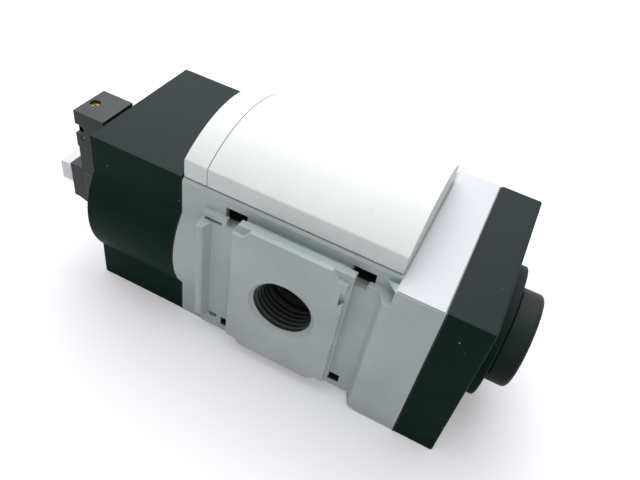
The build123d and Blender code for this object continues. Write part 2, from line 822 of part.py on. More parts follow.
def cover_piece(shell, x0, x1, ribs):
    # A closed-ended shell that stands on cross ribs, with a leg at both ends of each rib
    cover_bottom = body_top + cover_gap
    cover_section(x0, x1, cover_half_width, cover_wall_top, cover_crown, cover_bottom)
    shoulders = shell.edges().filter_by(Axis.X).filter_by(
        lambda e: abs(e.center().Z - cover_wall_top) < position_match
    )
    fillet(shoulders, cover_edge_fillet)
    cover_section(x0 + cover_shell, x1 - cover_shell, cover_half_width - cover_shell,
                  cover_wall_top - cover_shell / 2, cover_crown - cover_shell, cover_bottom, Mode.SUBTRACT)
    for rib_x in ribs:
        cover_section(rib_x - rib_thickness / 2, rib_x + rib_thickness / 2, cover_half_width - cover_shell,
                      cover_wall_top - cover_shell / 2, cover_crown - cover_shell, body_top)
        for side in (-1, 1):
            leg_y = side * (cover_half_width - cover_shell - leg_thickness / 2)
            slab(rib_x - leg_length / 2, rib_x + leg_length / 2, leg_y - leg_thickness / 2,
                 leg_y + leg_thickness / 2, body_top - leg_depth, cover_wall_top - cover_shell)


# The narrow end piece of the cover, next to the pilot cap
with BuildPart() as cover_end_band:
    cover_piece(cover_end_band, body_x0, body_x0 + band_length, [body_x0 + band_length / 2])
save(cover_end_band.part, "cover_end_band")

# The long front cover
with BuildPart() as front_cover:
    cover_x0 = body_x0 + band_length + panel_gap
    cover_x1 = body_x0 + cover_end
    cover_piece(front_cover, cover_x0, cover_x1, [cover_x0 + 2 * leg_length, cover_x1 - 2 * leg_length])
save(front_cover.part, "front_cover")

# Blank rating strip on the end block
with BuildPart() as label_strip:
    slab(end_block_x0 + label_margin, body_x1 - label_margin, label_margin - port_face_y,
         port_face_y - label_margin, body_top, body_top + label_thickness)
save(label_strip.part, "label_strip")

# Working piston with its seal groove, nut recess and spring recess
with BuildPart() as main_piston:
    disc(piston_x0, piston_x1, chamber_radius - running_clearance)
    ring(piston_x0 + (piston_thickness - piston_seal_width) / 2,
         piston_x0 + (piston_thickness + piston_seal_width) / 2,
         chamber_radius, chamber_radius - running_clearance - piston_seal_depth, Mode.SUBTRACT)
    disc(piston_x0, piston_x0 + piston_hub_recess, piston_recess_radius, Mode.SUBTRACT)
    ring(piston_x1 - spring_recess_depth, piston_x1,
         spring_mean_radius + spring_wire_radius + spring_side_clearance,
         spring_mean_radius - spring_wire_radius - spring_side_clearance, Mode.SUBTRACT)
    disc(piston_x0, piston_x1, stem_tip_radius + pressed_clearance, Mode.SUBTRACT)
save(main_piston.part, "main_piston")

with BuildPart() as piston_seal:
    ring(piston_x0 + (piston_thickness - piston_seal_width) / 2 + pressed_clearance,
         piston_x0 + (piston_thickness + piston_seal_width) / 2 - pressed_clearance,
         chamber_radius - seal_clearance,
         chamber_radius - running_clearance - piston_seal_depth + pressed_clearance)
    seal_rims = piston_seal.edges().filter_by(GeomType.CIRCLE).sort_by(SortBy.RADIUS)[-2:]
    fillet(seal_rims, edge_break)
save(piston_seal.part, "piston_seal")

# Stepped stem that joins piston and poppet and slides in the guide bush
with BuildPart() as valve_stem:
    disc(piston_x1, poppet_x0 + poppet_near_recess, stem_radius)
    disc(piston_x0 - stem_tip_overhang, piston_x1, stem_tip_radius)
    disc(poppet_x0 + poppet_near_recess, spider_x1 + stem_overrun, stem_tip_radius)
    chamfer(valve_stem.faces().sort_by(Axis.X)[0].edges(), stem_tip_overhang)
    chamfer(valve_stem.faces().sort_by(Axis.X)[-1].edges(), stem_tip_overhang)
save(valve_stem.part, "valve_stem")


def hexagon_nut(x0):
    # A nut on the stem, with a running gap over the thread
    with BuildSketch(Plane.YZ.offset(x0)) as section:
        with Locations((0, axis_height)):
            RegularPolygon(nut_flat_radius, 6, major_radius=False)
            Circle(stem_tip_radius + pressed_clearance, mode=Mode.SUBTRACT)
    extrude(section.sketch, amount=nut_thickness)


with BuildPart() as piston_nut:
    hexagon_nut(piston_x0 + piston_hub_recess - nut_thickness)
save(piston_nut.part, "piston_nut")

with BuildPart() as poppet_nut:
    hexagon_nut(poppet_x1 - poppet_far_recess)
save(poppet_nut.part, "poppet_nut")

# Poppet disc with a rubber ring set in each face
with BuildPart() as poppet:
    disc(poppet_x0, poppet_x1, poppet_radius)
    ring(poppet_x0, poppet_x0 + poppet_seal_depth, poppet_seal_outer, poppet_seal_inner, Mode.SUBTRACT)
    ring(poppet_x1 - poppet_seal_depth, poppet_x1, poppet_seal_outer, poppet_seal_inner, Mode.SUBTRACT)
    disc(poppet_x0, poppet_x0 + poppet_near_recess, stem_radius + pressed_clearance, Mode.SUBTRACT)
    disc(poppet_x1 - poppet_far_recess, poppet_x1, poppet_recess_radius, Mode.SUBTRACT)
    disc(poppet_x0, poppet_x1, stem_tip_radius + pressed_clearance, Mode.SUBTRACT)
save(poppet.part, "poppet")

with BuildPart() as poppet_seals:
    ring(poppet_x0, poppet_x0 + poppet_seal_depth, poppet_seal_outer - pressed_clearance,
         poppet_seal_inner + pressed_clearance)
    ring(poppet_x1 - poppet_seal_depth, poppet_x1, poppet_seal_outer - pressed_clearance,
         poppet_seal_inner + pressed_clearance)
save(poppet_seals.part, "poppet_seals")

# Near seat, pressed in between supply and outlet chambers, with a raised sealing lip
with BuildPart() as supply_seat:
    ring(seat_x0, seat_x1, outlet_radius - pressed_clearance, seat_hole_radius)
    ring(seat_x1, seat_x1 + lip_height,
         seat_lip_radius + seat_lip_width / 2, seat_lip_radius - seat_lip_width / 2)
    ring(seat_x0 + seat_groove_inset, seat_x0 + seat_groove_inset + seat_groove_width,
         outlet_radius, outlet_radius - seat_groove_depth, Mode.SUBTRACT)
save(supply_seat.part, "supply_seat")

# Far seat with the three-armed spider that guides the end of the stem
with BuildPart() as exhaust_seat:
    ring(exhaust_seat_x0, exhaust_seat_x1, exhaust_radius - pressed_clearance, seat_hole_radius)
    ring(exhaust_seat_x0 - lip_height, exhaust_seat_x0,
         seat_lip_radius + seat_lip_width / 2, seat_lip_radius - seat_lip_width / 2)
    ring(exhaust_seat_x0 + seat_groove_inset, exhaust_seat_x0 + seat_groove_inset + seat_groove_width,
         exhaust_radius, exhaust_radius - seat_groove_depth, Mode.SUBTRACT)
    disc(exhaust_seat_x0 + spider_start, spider_x1, spider_hub_radius)
    with BuildSketch(Plane.YZ.offset(exhaust_seat_x0 + spider_start)):
        with Locations((0, axis_height)):
            with PolarLocations(seat_hole_radius / 2 + spider_arm_shift, spider_arms, start_angle=90):
                Rectangle(seat_hole_radius, spider_arm_width)
    extrude(amount=seat_thickness - spider_start)
    disc(exhaust_seat_x0, spider_x1, stem_tip_radius + running_clearance, Mode.SUBTRACT)
save(exhaust_seat.part, "exhaust_seat")


def o_ring(x, ring_radius, wire_radius):
    # A rubber ring round the main axis
    with Locations((x, 0, axis_height)):
        Torus(ring_radius, wire_radius, rotation=(0, 90, 0))


with BuildPart() as seat_o_rings:
    groove_centre = seat_groove_inset + seat_groove_width / 2
    o_ring(seat_x0 + groove_centre, outlet_radius - seal_clearance - o_ring_radius, o_ring_radius)
    o_ring(exhaust_seat_x0 + groove_centre, exhaust_radius - seal_clearance - o_ring_radius, o_ring_radius)
save(seat_o_rings.part, "seat_o_rings")

# Guide bush of the stem, pressed into the body's partition
with BuildPart() as guide_bush:
    bush_x0 = body_x0 + spring_seat_depth
    disc(bush_x0 - bush_flange_thickness, bush_x0, bush_flange_radius)
    disc(bush_x0, guide_x1, guide_radius - pressed_clearance)
    disc(bush_x0 - bush_flange_thickness, guide_x1, stem_radius + running_clearance, Mode.SUBTRACT)
    ring(bush_stem_ring_x - bush_groove_width / 2, bush_stem_ring_x + bush_groove_width / 2,
         stem_radius + seal_clearance + 2 * o_ring_radius + pressed_clearance, stem_radius, Mode.SUBTRACT)
    ring(bush_body_ring_x - bush_groove_width / 2, bush_body_ring_x + bush_groove_width / 2,
         guide_radius, guide_radius - seal_clearance - 2 * o_ring_radius - pressed_clearance, Mode.SUBTRACT)
save(guide_bush.part, "guide_bush")

with BuildPart() as bush_o_rings:
    o_ring(bush_stem_ring_x, stem_radius + seal_clearance + o_ring_radius, o_ring_radius)
    o_ring(bush_body_ring_x, guide_radius - seal_clearance - o_ring_radius, o_ring_radius)
save(bush_o_rings.part, "bush_o_rings")


def coil_spring(start, direction, length, turns, mean_radius, wire_radius):
    # A round-wire helix that just touches both of its seats
    rise = length - 2 * wire_radius
    first = start + direction * wire_radius
    path = Helix(rise / turns, rise, mean_radius, center=first, direction=direction)
    with BuildSketch(Plane(origin=path @ 0, z_dir=path % 0)) as wire:
        Circle(wire_radius)
    sweep(wire.sketch, path=Wire([path]), is_frenet=True)


# Return spring between piston and partition
with BuildPart() as return_spring:
    coil_spring(
        Vector(piston_x1 - spring_recess_depth, 0, axis_height),
        Vector(1, 0, 0),
        body_x0 + spring_seat_depth - piston_x1 + spring_recess_depth,
        spring_turns,
        spring_mean_radius,
        spring_wire_radius,
    )
save(return_spring.part, "return_spring")

# Plug that closes the exhaust port: round head, hollow threaded spigot, dished face
with BuildPart() as exhaust_plug:
    disc(plug_x0, plug_x1, plug_head_radius)
    plug_rim = exhaust_plug.edges().filter_by(GeomType.CIRCLE).sort_by(Axis.X)[-1]
    fillet(plug_rim, plug_rim_fillet)
    disc(collar_x1 - plug_spigot_length, plug_x0, exhaust_thread_radius - plug_clearance)
    disc(collar_x1 - plug_spigot_length, plug_x0,
         exhaust_thread_radius - plug_clearance - plug_wall, Mode.SUBTRACT)
    disc(plug_x1 - plug_dish_depth, plug_x1, plug_dish_radius, Mode.SUBTRACT)
save(exhaust_plug.part, "exhaust_plug")

with BuildPart() as plug_seal:
    ring(collar_x1, plug_x0, plug_seal_radius, exhaust_thread_radius)
save(plug_seal.part, "plug_seal")

# Small plug in the drilled pilot duct, hidden under the cover
with BuildPart() as duct_plug:
    upright(body_x0 + duct_length, pilot_y, body_top - duct_plug_sunk - duct_plug_length,
            body_top - duct_plug_sunk, duct_radius - pressed_clearance)
save(duct_plug.part, "duct_plug")

# Pilot valve block: mounting foot, head, neck and lower block in one moulding
coil_x = pilot_x(coil_axis_reach)
with BuildPart() as pilot_valve_body:
    with BuildSketch(Plane.XZ.offset(-pilot_y - pilot_width / 2)):
        with BuildLine():
            Polyline(
                (pilot_x(gasket_thickness), pilot_foot),
                (pilot_x(pilot_base), pilot_foot),
                (pilot_x(pilot_base), block_bottom),
                (pilot_x(block_reach), block_bottom),
                (pilot_x(block_reach), neck_bottom),
                (pilot_x(neck_reach), neck_bottom),
                (pilot_x(neck_reach), head_bottom),
                (pilot_x(pilot_reach), head_bottom),
                (pilot_x(pilot_reach), head_top),
                (pilot_x(gasket_thickness), head_top),
                close=True,
            )
        make_face()
    extrude(amount=pilot_width)
    override_x = pilot_x(override_reach)
    upright(override_x, pilot_y, head_top - override_sunk - override_height, head_top,
            override_radius + override_clearance, Mode.SUBTRACT)
    upright(override_x, pilot_y, override_shaft_end - pressed_clearance, head_top,
            override_shaft_radius + override_clearance, Mode.SUBTRACT)
    upright(override_x, pilot_y, override_ring_height - override_ring_radius - pressed_clearance,
            override_ring_height + override_ring_radius + pressed_clearance,
            override_shaft_radius + seal_clearance + 2 * override_ring_radius + pressed_clearance,
            Mode.SUBTRACT)
    for side in (-1, 1):
        with BuildSketch(Plane.XZ.offset(-pilot_y - side * pilot_width / 2)):
            with Locations((pilot_x(cross_hole_reach), neck_bottom + cross_hole_drop + cross_hole_radius)):
                Circle(cross_hole_radius)
            with Locations((pilot_x(cross_hole_reach), neck_bottom - test_pocket_drop)):
                Rectangle(test_pocket_width, test_pocket_width)
        extrude(amount=side * cross_hole_depth, mode=Mode.SUBTRACT)
    # Supply passage to the nozzle and the nozzle chamber over the armature
    slab(coil_x - pilot_duct_radius, pilot_x(gasket_thickness), pilot_y - pilot_duct_radius,
         pilot_y + pilot_duct_radius, supply_duct_height - pilot_duct_radius,
         supply_duct_height + pilot_duct_radius, Mode.SUBTRACT)
    chamber_top = block_bottom + nozzle_chamber_height
    upright(coil_x, pilot_y, block_bottom, chamber_top, nozzle_chamber_radius, Mode.SUBTRACT)
    upright(coil_x, pilot_y, block_bottom + seal_clearance, chamber_top, nozzle_radius)
    upright(coil_x, pilot_y, block_bottom, supply_duct_height, nozzle_bore_radius, Mode.SUBTRACT)
    # Work passage from the nozzle chamber down to the piston chamber
    passage_z = block_bottom + nozzle_chamber_height / 2
    slab(coil_x + nozzle_chamber_radius - passage_overlap, pilot_x(work_duct_reach) + pilot_duct_radius,
         pilot_y - pilot_duct_radius, pilot_y + pilot_duct_radius,
         passage_z - pilot_duct_radius, passage_z + pilot_duct_radius, Mode.SUBTRACT)
    upright(pilot_x(work_duct_reach), pilot_y, work_duct_height, passage_z,
            pilot_duct_radius, Mode.SUBTRACT)
    with BuildSketch(Plane.YZ.offset(pilot_x(gasket_thickness))):
        with Locations((pilot_y, work_duct_height)):
            Circle(pilot_duct_radius)
    extrude(amount=gasket_thickness - work_duct_reach, mode=Mode.SUBTRACT)
    with Locations(Plane(origin=(pilot_x(block_reach), pilot_y, pilot_screw_height),
                         x_dir=(0, -1, 0), z_dir=(-1, 0, 0))):
        with GridLocations(pilot_screw_spread, 0, 2, 1):
            CounterBoreHole(
                pilot_screw_radius + screw_clearance,
                pilot_screw_head_radius + head_clearance,
                pilot_screw_head_height + head_sunk,
            )
    with Locations(Plane(origin=(pilot_x(pilot_base), pilot_y, foot_screw_height),
                         x_dir=(0, -1, 0), z_dir=(-1, 0, 0))):
        Hole(pilot_screw_radius + screw_clearance)
save(pilot_valve_body.part, "pilot_valve_body")

# Flat gasket under the pilot valve
with BuildPart() as pilot_gasket:
    slab(pilot_x(gasket_thickness), cap_x0, pilot_y - pilot_width / 2 + pilot_gasket_inset,
         pilot_y + pilot_width / 2 - pilot_gasket_inset, pilot_foot + pilot_gasket_inset,
         case_height - 2 * pilot_gasket_inset)
    with BuildSketch(Plane.YZ.offset(pilot_x(gasket_thickness))):
        with Locations((pilot_y, supply_duct_height), (pilot_y, work_duct_height)):
            Circle(duct_radius)
        with Locations((pilot_y, pilot_screw_height)):
            with GridLocations(pilot_screw_spread, 0, 2, 1):
                Circle(pilot_screw_radius + screw_clearance)
        with Locations((pilot_y, foot_screw_height)):
            Circle(pilot_screw_radius + screw_clearance)
    extrude(amount=gasket_thickness, mode=Mode.SUBTRACT)
save(pilot_gasket.part, "pilot_gasket")

# Screws that hold the pilot valve
block_head_x = pilot_x(block_reach - head_sunk)
block_shank = block_reach - head_sunk - pilot_screw_head_height + pilot_screw_grip
save(
    screw_set(
        block_head_x,
        1,
        (pilot_screw_radius, pilot_screw_head_radius, pilot_screw_head_height, block_shank),
        [
            (pilot_y - pilot_screw_spread / 2, pilot_screw_height),
            (pilot_y + pilot_screw_spread / 2, pilot_screw_height),
        ],
    ),
    "pilot_screws",
)
save(
    screw_set(
        pilot_x(pilot_base + pilot_screw_head_height),
        1,
        (
            pilot_screw_radius,
            pilot_screw_head_radius,
            pilot_screw_head_height,
            pilot_base + pilot_screw_grip,
        ),
        [(pilot_y, foot_screw_height)],
    ),
    "pilot_foot_screw",
)

# Moulded coil body with the pin socket on its outer face
yoke_y = pilot_width / 2 - yoke_thickness
with BuildPart() as solenoid_coil:
    with BuildSketch(Plane.XZ.offset(-pilot_y - pilot_width / 2)):
        with BuildLine():
            Polyline(
                (pilot_x(pilot_base), coil_bottom),
                (pilot_x(socket_slant_reach), coil_bottom),
                (pilot_x(socket_reach - socket_flat), socket_bottom),
                (pilot_x(socket_reach), socket_bottom),
                (pilot_x(socket_reach), socket_top),
                (pilot_x(coil_reach), socket_top),
                (pilot_x(coil_reach), block_bottom),
                (pilot_x(pilot_base), block_bottom),
                close=True,
            )
        make_face()
    extrude(amount=pilot_width)
    plinth_half = pin_cover_half_width - pin_cover_wall - plinth_clearance
    slab(pilot_x(socket_reach + plinth_height), pilot_x(socket_reach),
         pilot_y - plinth_half, pilot_y + plinth_half,
         pin_cover_bottom + pin_cover_wall + plinth_clearance,
         pin_cover_top - pin_cover_wall - plinth_clearance)
    upright(coil_x, pilot_y, winding_bottom, winding_top, winding_radius + winding_clearance, Mode.SUBTRACT)
    upright(coil_x, pilot_y, winding_bottom, block_bottom, tube_radius + pressed_clearance, Mode.SUBTRACT)
    for side in (-1, 1):
        plate_y = sorted((pilot_y + side * yoke_y, pilot_y + side * pilot_width / 2))
        slab(pilot_x(yoke_end), pilot_x(yoke_start), *plate_y, yoke_bottom, yoke_top, Mode.SUBTRACT)
    slab(pilot_x(yoke_end), pilot_x(yoke_start), pilot_y - pilot_width / 2, pilot_y + pilot_width / 2,
         yoke_bottom, yoke_bottom + yoke_thickness, Mode.SUBTRACT)
    pin_z = (pin_cover_bottom + pin_cover_top) / 2
    for step in (-1, 0, 1):
        pin_y = pilot_y + step * pin_spacing
        slab(pilot_x(socket_reach + plinth_height), pilot_x(socket_reach - pin_root),
             pin_y - pin_thickness / 2, pin_y + pin_thickness / 2,
             pin_z - pin_width / 2, pin_z + pin_width / 2, Mode.SUBTRACT)
save(solenoid_coil.part, "solenoid_coil")

# Steel yoke: two side plates joined under the winding
with BuildPart() as coil_yoke:
    slab(pilot_x(yoke_end), pilot_x(yoke_start), pilot_y - pilot_width / 2, pilot_y + pilot_width / 2,
         yoke_bottom, yoke_top)
    slab(pilot_x(yoke_end), pilot_x(yoke_start), pilot_y - yoke_y, pilot_y + yoke_y,
         yoke_bottom + yoke_thickness, yoke_top, Mode.SUBTRACT)
save(coil_yoke.part, "coil_yoke")

with BuildPart() as coil_winding:
    upright(coil_x, pilot_y, winding_bottom, winding_top, winding_radius)
    upright(coil_x, pilot_y, winding_bottom, winding_top, tube_radius + pressed_clearance, Mode.SUBTRACT)
save(coil_winding.part, "coil_winding")

# Core tube with its fixed pole, and the armature that slides above it
with BuildPart() as core_tube:
    upright(coil_x, pilot_y, winding_bottom, block_bottom, tube_radius)
    upright(coil_x, pilot_y, winding_bottom, block_bottom, tube_bore_radius, Mode.SUBTRACT)
save(core_tube.part, "core_tube")

with BuildPart() as pole_core:
    upright(coil_x, pilot_y, winding_bottom, pole_top, tube_bore_radius - pressed_clearance)
save(pole_core.part, "pole_core")

armature_bottom = pole_top + armature_gap
armature_top = block_bottom - armature_pad_height
with BuildPart() as armature:
    upright(coil_x, pilot_y, armature_bottom, armature_top, tube_bore_radius - running_clearance)
    upright(coil_x, pilot_y, armature_bottom, armature_bottom + armature_recess_depth,
            armature_recess_radius, Mode.SUBTRACT)
save(armature.part, "armature")

with BuildPart() as armature_pad:
    upright(coil_x, pilot_y, armature_top, block_bottom, armature_pad_radius)
save(armature_pad.part, "armature_pad")

with BuildPart() as armature_spring:
    coil_spring(
        Vector(coil_x, pilot_y, pole_top),
        Vector(0, 0, 1),
        armature_gap + armature_recess_depth,
        armature_spring_turns,
        armature_spring_radius,
        armature_spring_wire,
    )
save(armature_spring.part, "armature_spring")

# Slotted hand override in the top of the pilot head, and its seal
with BuildPart() as override_screw:
    override_top = head_top - override_sunk
    upright(override_x, pilot_y, override_top - override_height, override_top, override_radius)
    upright(override_x, pilot_y, override_shaft_end, override_top - override_height, override_shaft_radius)
    with Locations((override_x, pilot_y, override_top - override_slot_depth / 2)):
        Box(2 * override_radius, override_slot, override_slot_depth, mode=Mode.SUBTRACT)
save(override_screw.part, "override_screw")

with BuildPart() as override_o_ring:
    with Locations((override_x, pilot_y, override_ring_height)):
        Torus(override_shaft_radius + seal_clearance + override_ring_radius, override_ring_radius)
save(override_o_ring.part, "override_o_ring")

# Contact pins of the plug connection
with BuildPart() as connector_pins:
    for step in (-1, 0, 1):
        pin_y = pilot_y + step * pin_spacing
        slab(pilot_x(pin_cover_reach - pin_cover_wall - pin_tip_gap), pilot_x(socket_reach - pin_root),
             pin_y - pin_thickness / 2, pin_y + pin_thickness / 2,
             pin_z - pin_width / 2, pin_z + pin_width / 2)
save(connector_pins.part, "connector_pins")

# Clear dust cover pushed over the pins
with BuildPart() as pin_cover:
    slab(pilot_x(pin_cover_reach), pilot_x(socket_reach), pilot_y - pin_cover_half_width,
         pilot_y + pin_cover_half_width, pin_cover_bottom, pin_cover_top)
    fillet(pin_cover.edges().filter_by(Axis.X), pin_cover_corner)
    slab(pilot_x(pin_cover_reach - pin_cover_wall), pilot_x(socket_reach),
         pilot_y - pin_cover_half_width + pin_cover_wall, pilot_y + pin_cover_half_width - pin_cover_wall,
         pin_cover_bottom + pin_cover_wall, pin_cover_top - pin_cover_wall, Mode.SUBTRACT)
save(pin_cover.part, "pin_cover")
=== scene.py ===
import json
import math
import bpy
from mathutils import Matrix, Vector


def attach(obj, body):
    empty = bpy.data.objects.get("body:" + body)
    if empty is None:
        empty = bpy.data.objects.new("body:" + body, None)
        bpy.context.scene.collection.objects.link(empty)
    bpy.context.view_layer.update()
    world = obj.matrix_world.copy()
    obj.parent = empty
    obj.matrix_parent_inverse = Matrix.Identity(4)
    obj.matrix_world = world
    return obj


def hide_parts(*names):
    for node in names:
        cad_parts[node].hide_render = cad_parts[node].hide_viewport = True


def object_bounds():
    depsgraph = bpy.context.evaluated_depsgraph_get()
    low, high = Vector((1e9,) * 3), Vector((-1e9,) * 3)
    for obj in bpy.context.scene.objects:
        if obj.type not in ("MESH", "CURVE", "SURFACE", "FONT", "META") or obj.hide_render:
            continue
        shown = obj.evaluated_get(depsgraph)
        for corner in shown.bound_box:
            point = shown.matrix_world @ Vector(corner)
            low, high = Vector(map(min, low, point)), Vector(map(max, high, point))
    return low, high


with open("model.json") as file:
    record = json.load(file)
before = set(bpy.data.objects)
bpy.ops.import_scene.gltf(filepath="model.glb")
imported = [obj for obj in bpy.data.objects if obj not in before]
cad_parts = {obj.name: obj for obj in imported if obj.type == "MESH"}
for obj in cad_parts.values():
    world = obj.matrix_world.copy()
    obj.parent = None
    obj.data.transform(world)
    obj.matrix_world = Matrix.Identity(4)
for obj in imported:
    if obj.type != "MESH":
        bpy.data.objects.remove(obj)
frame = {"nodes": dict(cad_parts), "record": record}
cadLow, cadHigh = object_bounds()
print("frame loaded with", len(frame["nodes"]), "nodes")

# One recipe per finish. Lengths are in metres, colours are linear. grain and speckSize are the
# scales of noise and cells, rim is how strongly the painted edge highlight shows, and only metals have a
# metallic value
finishes = {
    # Casting: lacquer outside; its bare inside colour is bare metal painted near-black as the shade in the
    # deep bore and openings
    "bodyCasting": {"color": (0.47, 0.53, 0.525), "deep": (0.40, 0.46, 0.455), "roughness": 0.52,
                    "grain": 2600.0, "grainDepth": 0.00004, "paintedRimHighlight": (0.86, 0.90, 0.90), "rim": 1.0,
                    "edge": 0.0004, "speck": (0.58, 0.62, 0.62), "speckSize": 900.0, "speckShare": 0.006,
                    "bareInsideShade": (0.020, 0.026, 0.021)},
    # Thread in the bore: bare metal painted near-black as the shade inside the port, with a painted highlight
    # on the crests near the mouth; paintedLead is the real lacquer on the lead cone
    "threadMetalShaded": {"color": (0.030, 0.036, 0.031), "deep": (0.012, 0.016, 0.013), "roughness": 0.42,
                    "shine": 0.3,
                    "grain": 4200.0, "grainDepth": 0.00002, "paintedRimHighlight": (0.20, 0.24, 0.22), "rim": 0.4,
                    "edge": 0.00012, "speck": (0.30, 0.33, 0.31), "speckSize": 1400.0, "speckShare": 0.02,
                    "crest": {"radius": (0.00932, 0.00962), "reach": (0.0235, 0.0290),
                              "color": (0.09, 0.125, 0.10)},
                    "paintedLead": (0.45, 0.51, 0.505)},
    # Black plastics: their dust colour, laid on the faces that look up, is partly dust and partly painted
    # sheen
    "capPlastic": {"color": (0.0022, 0.0165, 0.0105), "deep": (0.0012, 0.0125, 0.0080), "roughness": 0.46,
                   "shine": 0.06, "dust": (0.022, 0.031, 0.033),
                   "grain": 3800.0, "grainDepth": 0.00003, "paintedRimHighlight": (0.05, 0.06, 0.06), "rim": 0.5,
                   "edge": 0.0003, "speck": (0.42, 0.45, 0.46), "speckSize": 420.0, "speckShare": 0.03,
                   "speckWidth": 0.14},
    "plugPlastic": {"color": (0.005, 0.018, 0.013), "deep": (0.003, 0.013, 0.009), "roughness": 0.40,
                    "shine": 0.12, "dust": (0.018, 0.027, 0.025),
                    "grain": 2400.0, "grainDepth": 0.00003, "paintedRimHighlight": (0.06, 0.07, 0.07), "rim": 0.4,
                    "edge": 0.0004, "speck": (0.22, 0.24, 0.24), "speckSize": 300.0, "speckShare": 0.02},
    "coverPlastic": {"color": (0.76, 0.79, 0.775), "deep": (0.72, 0.75, 0.735), "roughness": 0.38,
                     "grain": 3000.0, "grainDepth": 0.00001, "paintedRimHighlight": (0.82, 0.84, 0.82), "rim": 0.3,
                     "edge": 0.0003, "speck": (0.70, 0.72, 0.70), "speckSize": 260.0, "speckShare": 0.006},
    "labelFilm": {"color": (0.59, 0.62, 0.66), "deep": (0.56, 0.59, 0.63), "roughness": 0.34,
                  "grain": 1500.0, "grainDepth": 0.00001, "paintedRimHighlight": (0.80, 0.82, 0.86), "rim": 0.3,
                  "edge": 0.00015, "speck": (0.62, 0.65, 0.70), "speckSize": 700.0, "speckShare": 0.01},
    "sealRubber": {"color": (0.012, 0.012, 0.012), "deep": (0.006, 0.006, 0.006), "roughness": 0.72,
                   "grain": 3000.0, "grainDepth": 0.00003, "paintedRimHighlight": (0.03, 0.03, 0.03), "rim": 0.3,
                   "edge": 0.0001, "speck": (0.10, 0.10, 0.10), "speckSize": 500.0, "speckShare": 0.01},
    "screwSteel": {"color": (0.50, 0.50, 0.48), "deep": (0.38, 0.37, 0.34), "roughness": 0.36,
                   "metallic": 1.0,
                   "grain": 2400.0, "grainDepth": 0.00002, "paintedRimHighlight": (0.72, 0.72, 0.70), "rim": 0.7,
                   "edge": 0.0002, "speck": (0.30, 0.27, 0.22), "speckSize": 900.0, "speckShare": 0.04},
    "stemSteel": {"color": (0.58, 0.58, 0.59), "deep": (0.50, 0.50, 0.51), "roughness": 0.24, "metallic": 1.0,
                  "grain": 5000.0, "grainDepth": 0.00001, "paintedRimHighlight": (0.75, 0.75, 0.75), "rim": 0.5,
                  "edge": 0.0002, "speck": (0.40, 0.40, 0.40), "speckSize": 1200.0, "speckShare": 0.02},
    "pistonPlastic": {"color": (0.045, 0.045, 0.05), "deep": (0.03, 0.03, 0.035), "roughness": 0.5,
                      "grain": 2400.0, "grainDepth": 0.00003, "paintedRimHighlight": (0.09, 0.09, 0.10), "rim": 0.4,
                      "edge": 0.0003, "speck": (0.12, 0.12, 0.12), "speckSize": 500.0, "speckShare": 0.01},
    "bushPlastic": {"color": (0.62, 0.58, 0.48), "deep": (0.54, 0.50, 0.41), "roughness": 0.45,
                    "grain": 2400.0, "grainDepth": 0.00002, "paintedRimHighlight": (0.7, 0.66, 0.56), "rim": 0.3,
                    "edge": 0.0002, "speck": (0.45, 0.42, 0.34), "speckSize": 600.0, "speckShare": 0.01},
    "seatAluminium": {"color": (0.62, 0.63, 0.65), "deep": (0.55, 0.56, 0.58), "roughness": 0.32,
                      "metallic": 1.0,
                      "grain": 4200.0, "grainDepth": 0.00002, "paintedRimHighlight": (0.8, 0.8, 0.82), "rim": 0.5,
                      "edge": 0.0002, "speck": (0.45, 0.46, 0.47), "speckSize": 900.0, "speckShare": 0.02},
    "springSteel": {"color": (0.36, 0.36, 0.36), "deep": (0.28, 0.28, 0.28), "roughness": 0.3,
                    "metallic": 1.0,
                    "grain": 3600.0, "grainDepth": 0.00001, "paintedRimHighlight": (0.5, 0.5, 0.5), "rim": 0.2,
                    "edge": 0.0001, "speck": (0.2, 0.2, 0.2), "speckSize": 900.0, "speckShare": 0.02},
    # Dark steel yoke; its strong rim is a painted highlight that stands for glints on its edges
    "yokeSteel": {"color": (0.030, 0.034, 0.034), "deep": (0.018, 0.021, 0.021), "roughness": 0.40,
                  "metallic": 0.5,
                  "grain": 2200.0, "grainDepth": 0.00002, "paintedRimHighlight": (0.55, 0.56, 0.56), "rim": 0.9,
                  "edge": 0.00018, "speck": (0.45, 0.46, 0.46), "speckSize": 700.0, "speckShare": 0.03},
    "pilotPlastic": {"color": (0.014, 0.020, 0.020), "deep": (0.009, 0.014, 0.014), "roughness": 0.44,
                     "shine": 0.35,
                     "grain": 4200.0, "grainDepth": 0.00003, "paintedRimHighlight": (0.06, 0.07, 0.07), "rim": 0.5,
                     "edge": 0.0002, "speck": (0.2, 0.21, 0.21), "speckSize": 420.0, "speckShare": 0.012},
    "copperWinding": {"color": (0.52, 0.20, 0.08), "deep": (0.38, 0.13, 0.05), "roughness": 0.35,
                      "metallic": 1.0,
                      "grain": 5000.0, "grainDepth": 0.00003, "paintedRimHighlight": (0.7, 0.35, 0.18), "rim": 0.3,
                      "edge": 0.0001, "speck": (0.25, 0.1, 0.05), "speckSize": 1200.0, "speckShare": 0.02},
    "brassParts": {"color": (0.62, 0.44, 0.16), "deep": (0.46, 0.31, 0.10), "roughness": 0.3, "metallic": 1.0,
                   "grain": 5200.0, "grainDepth": 0.00002, "paintedRimHighlight": (0.85, 0.68, 0.35), "rim": 0.7,
                   "edge": 0.0001, "speck": (0.3, 0.2, 0.08), "speckSize": 2200.0, "speckShare": 0.04},
    "pinMetal": {"color": (0.62, 0.60, 0.54), "deep": (0.5, 0.48, 0.42), "roughness": 0.28, "metallic": 1.0,
                 "grain": 4200.0, "grainDepth": 0.00001, "paintedRimHighlight": (0.8, 0.78, 0.74), "rim": 0.4,
                 "edge": 0.0001, "speck": (0.4, 0.36, 0.3), "speckSize": 1500.0, "speckShare": 0.02},
}

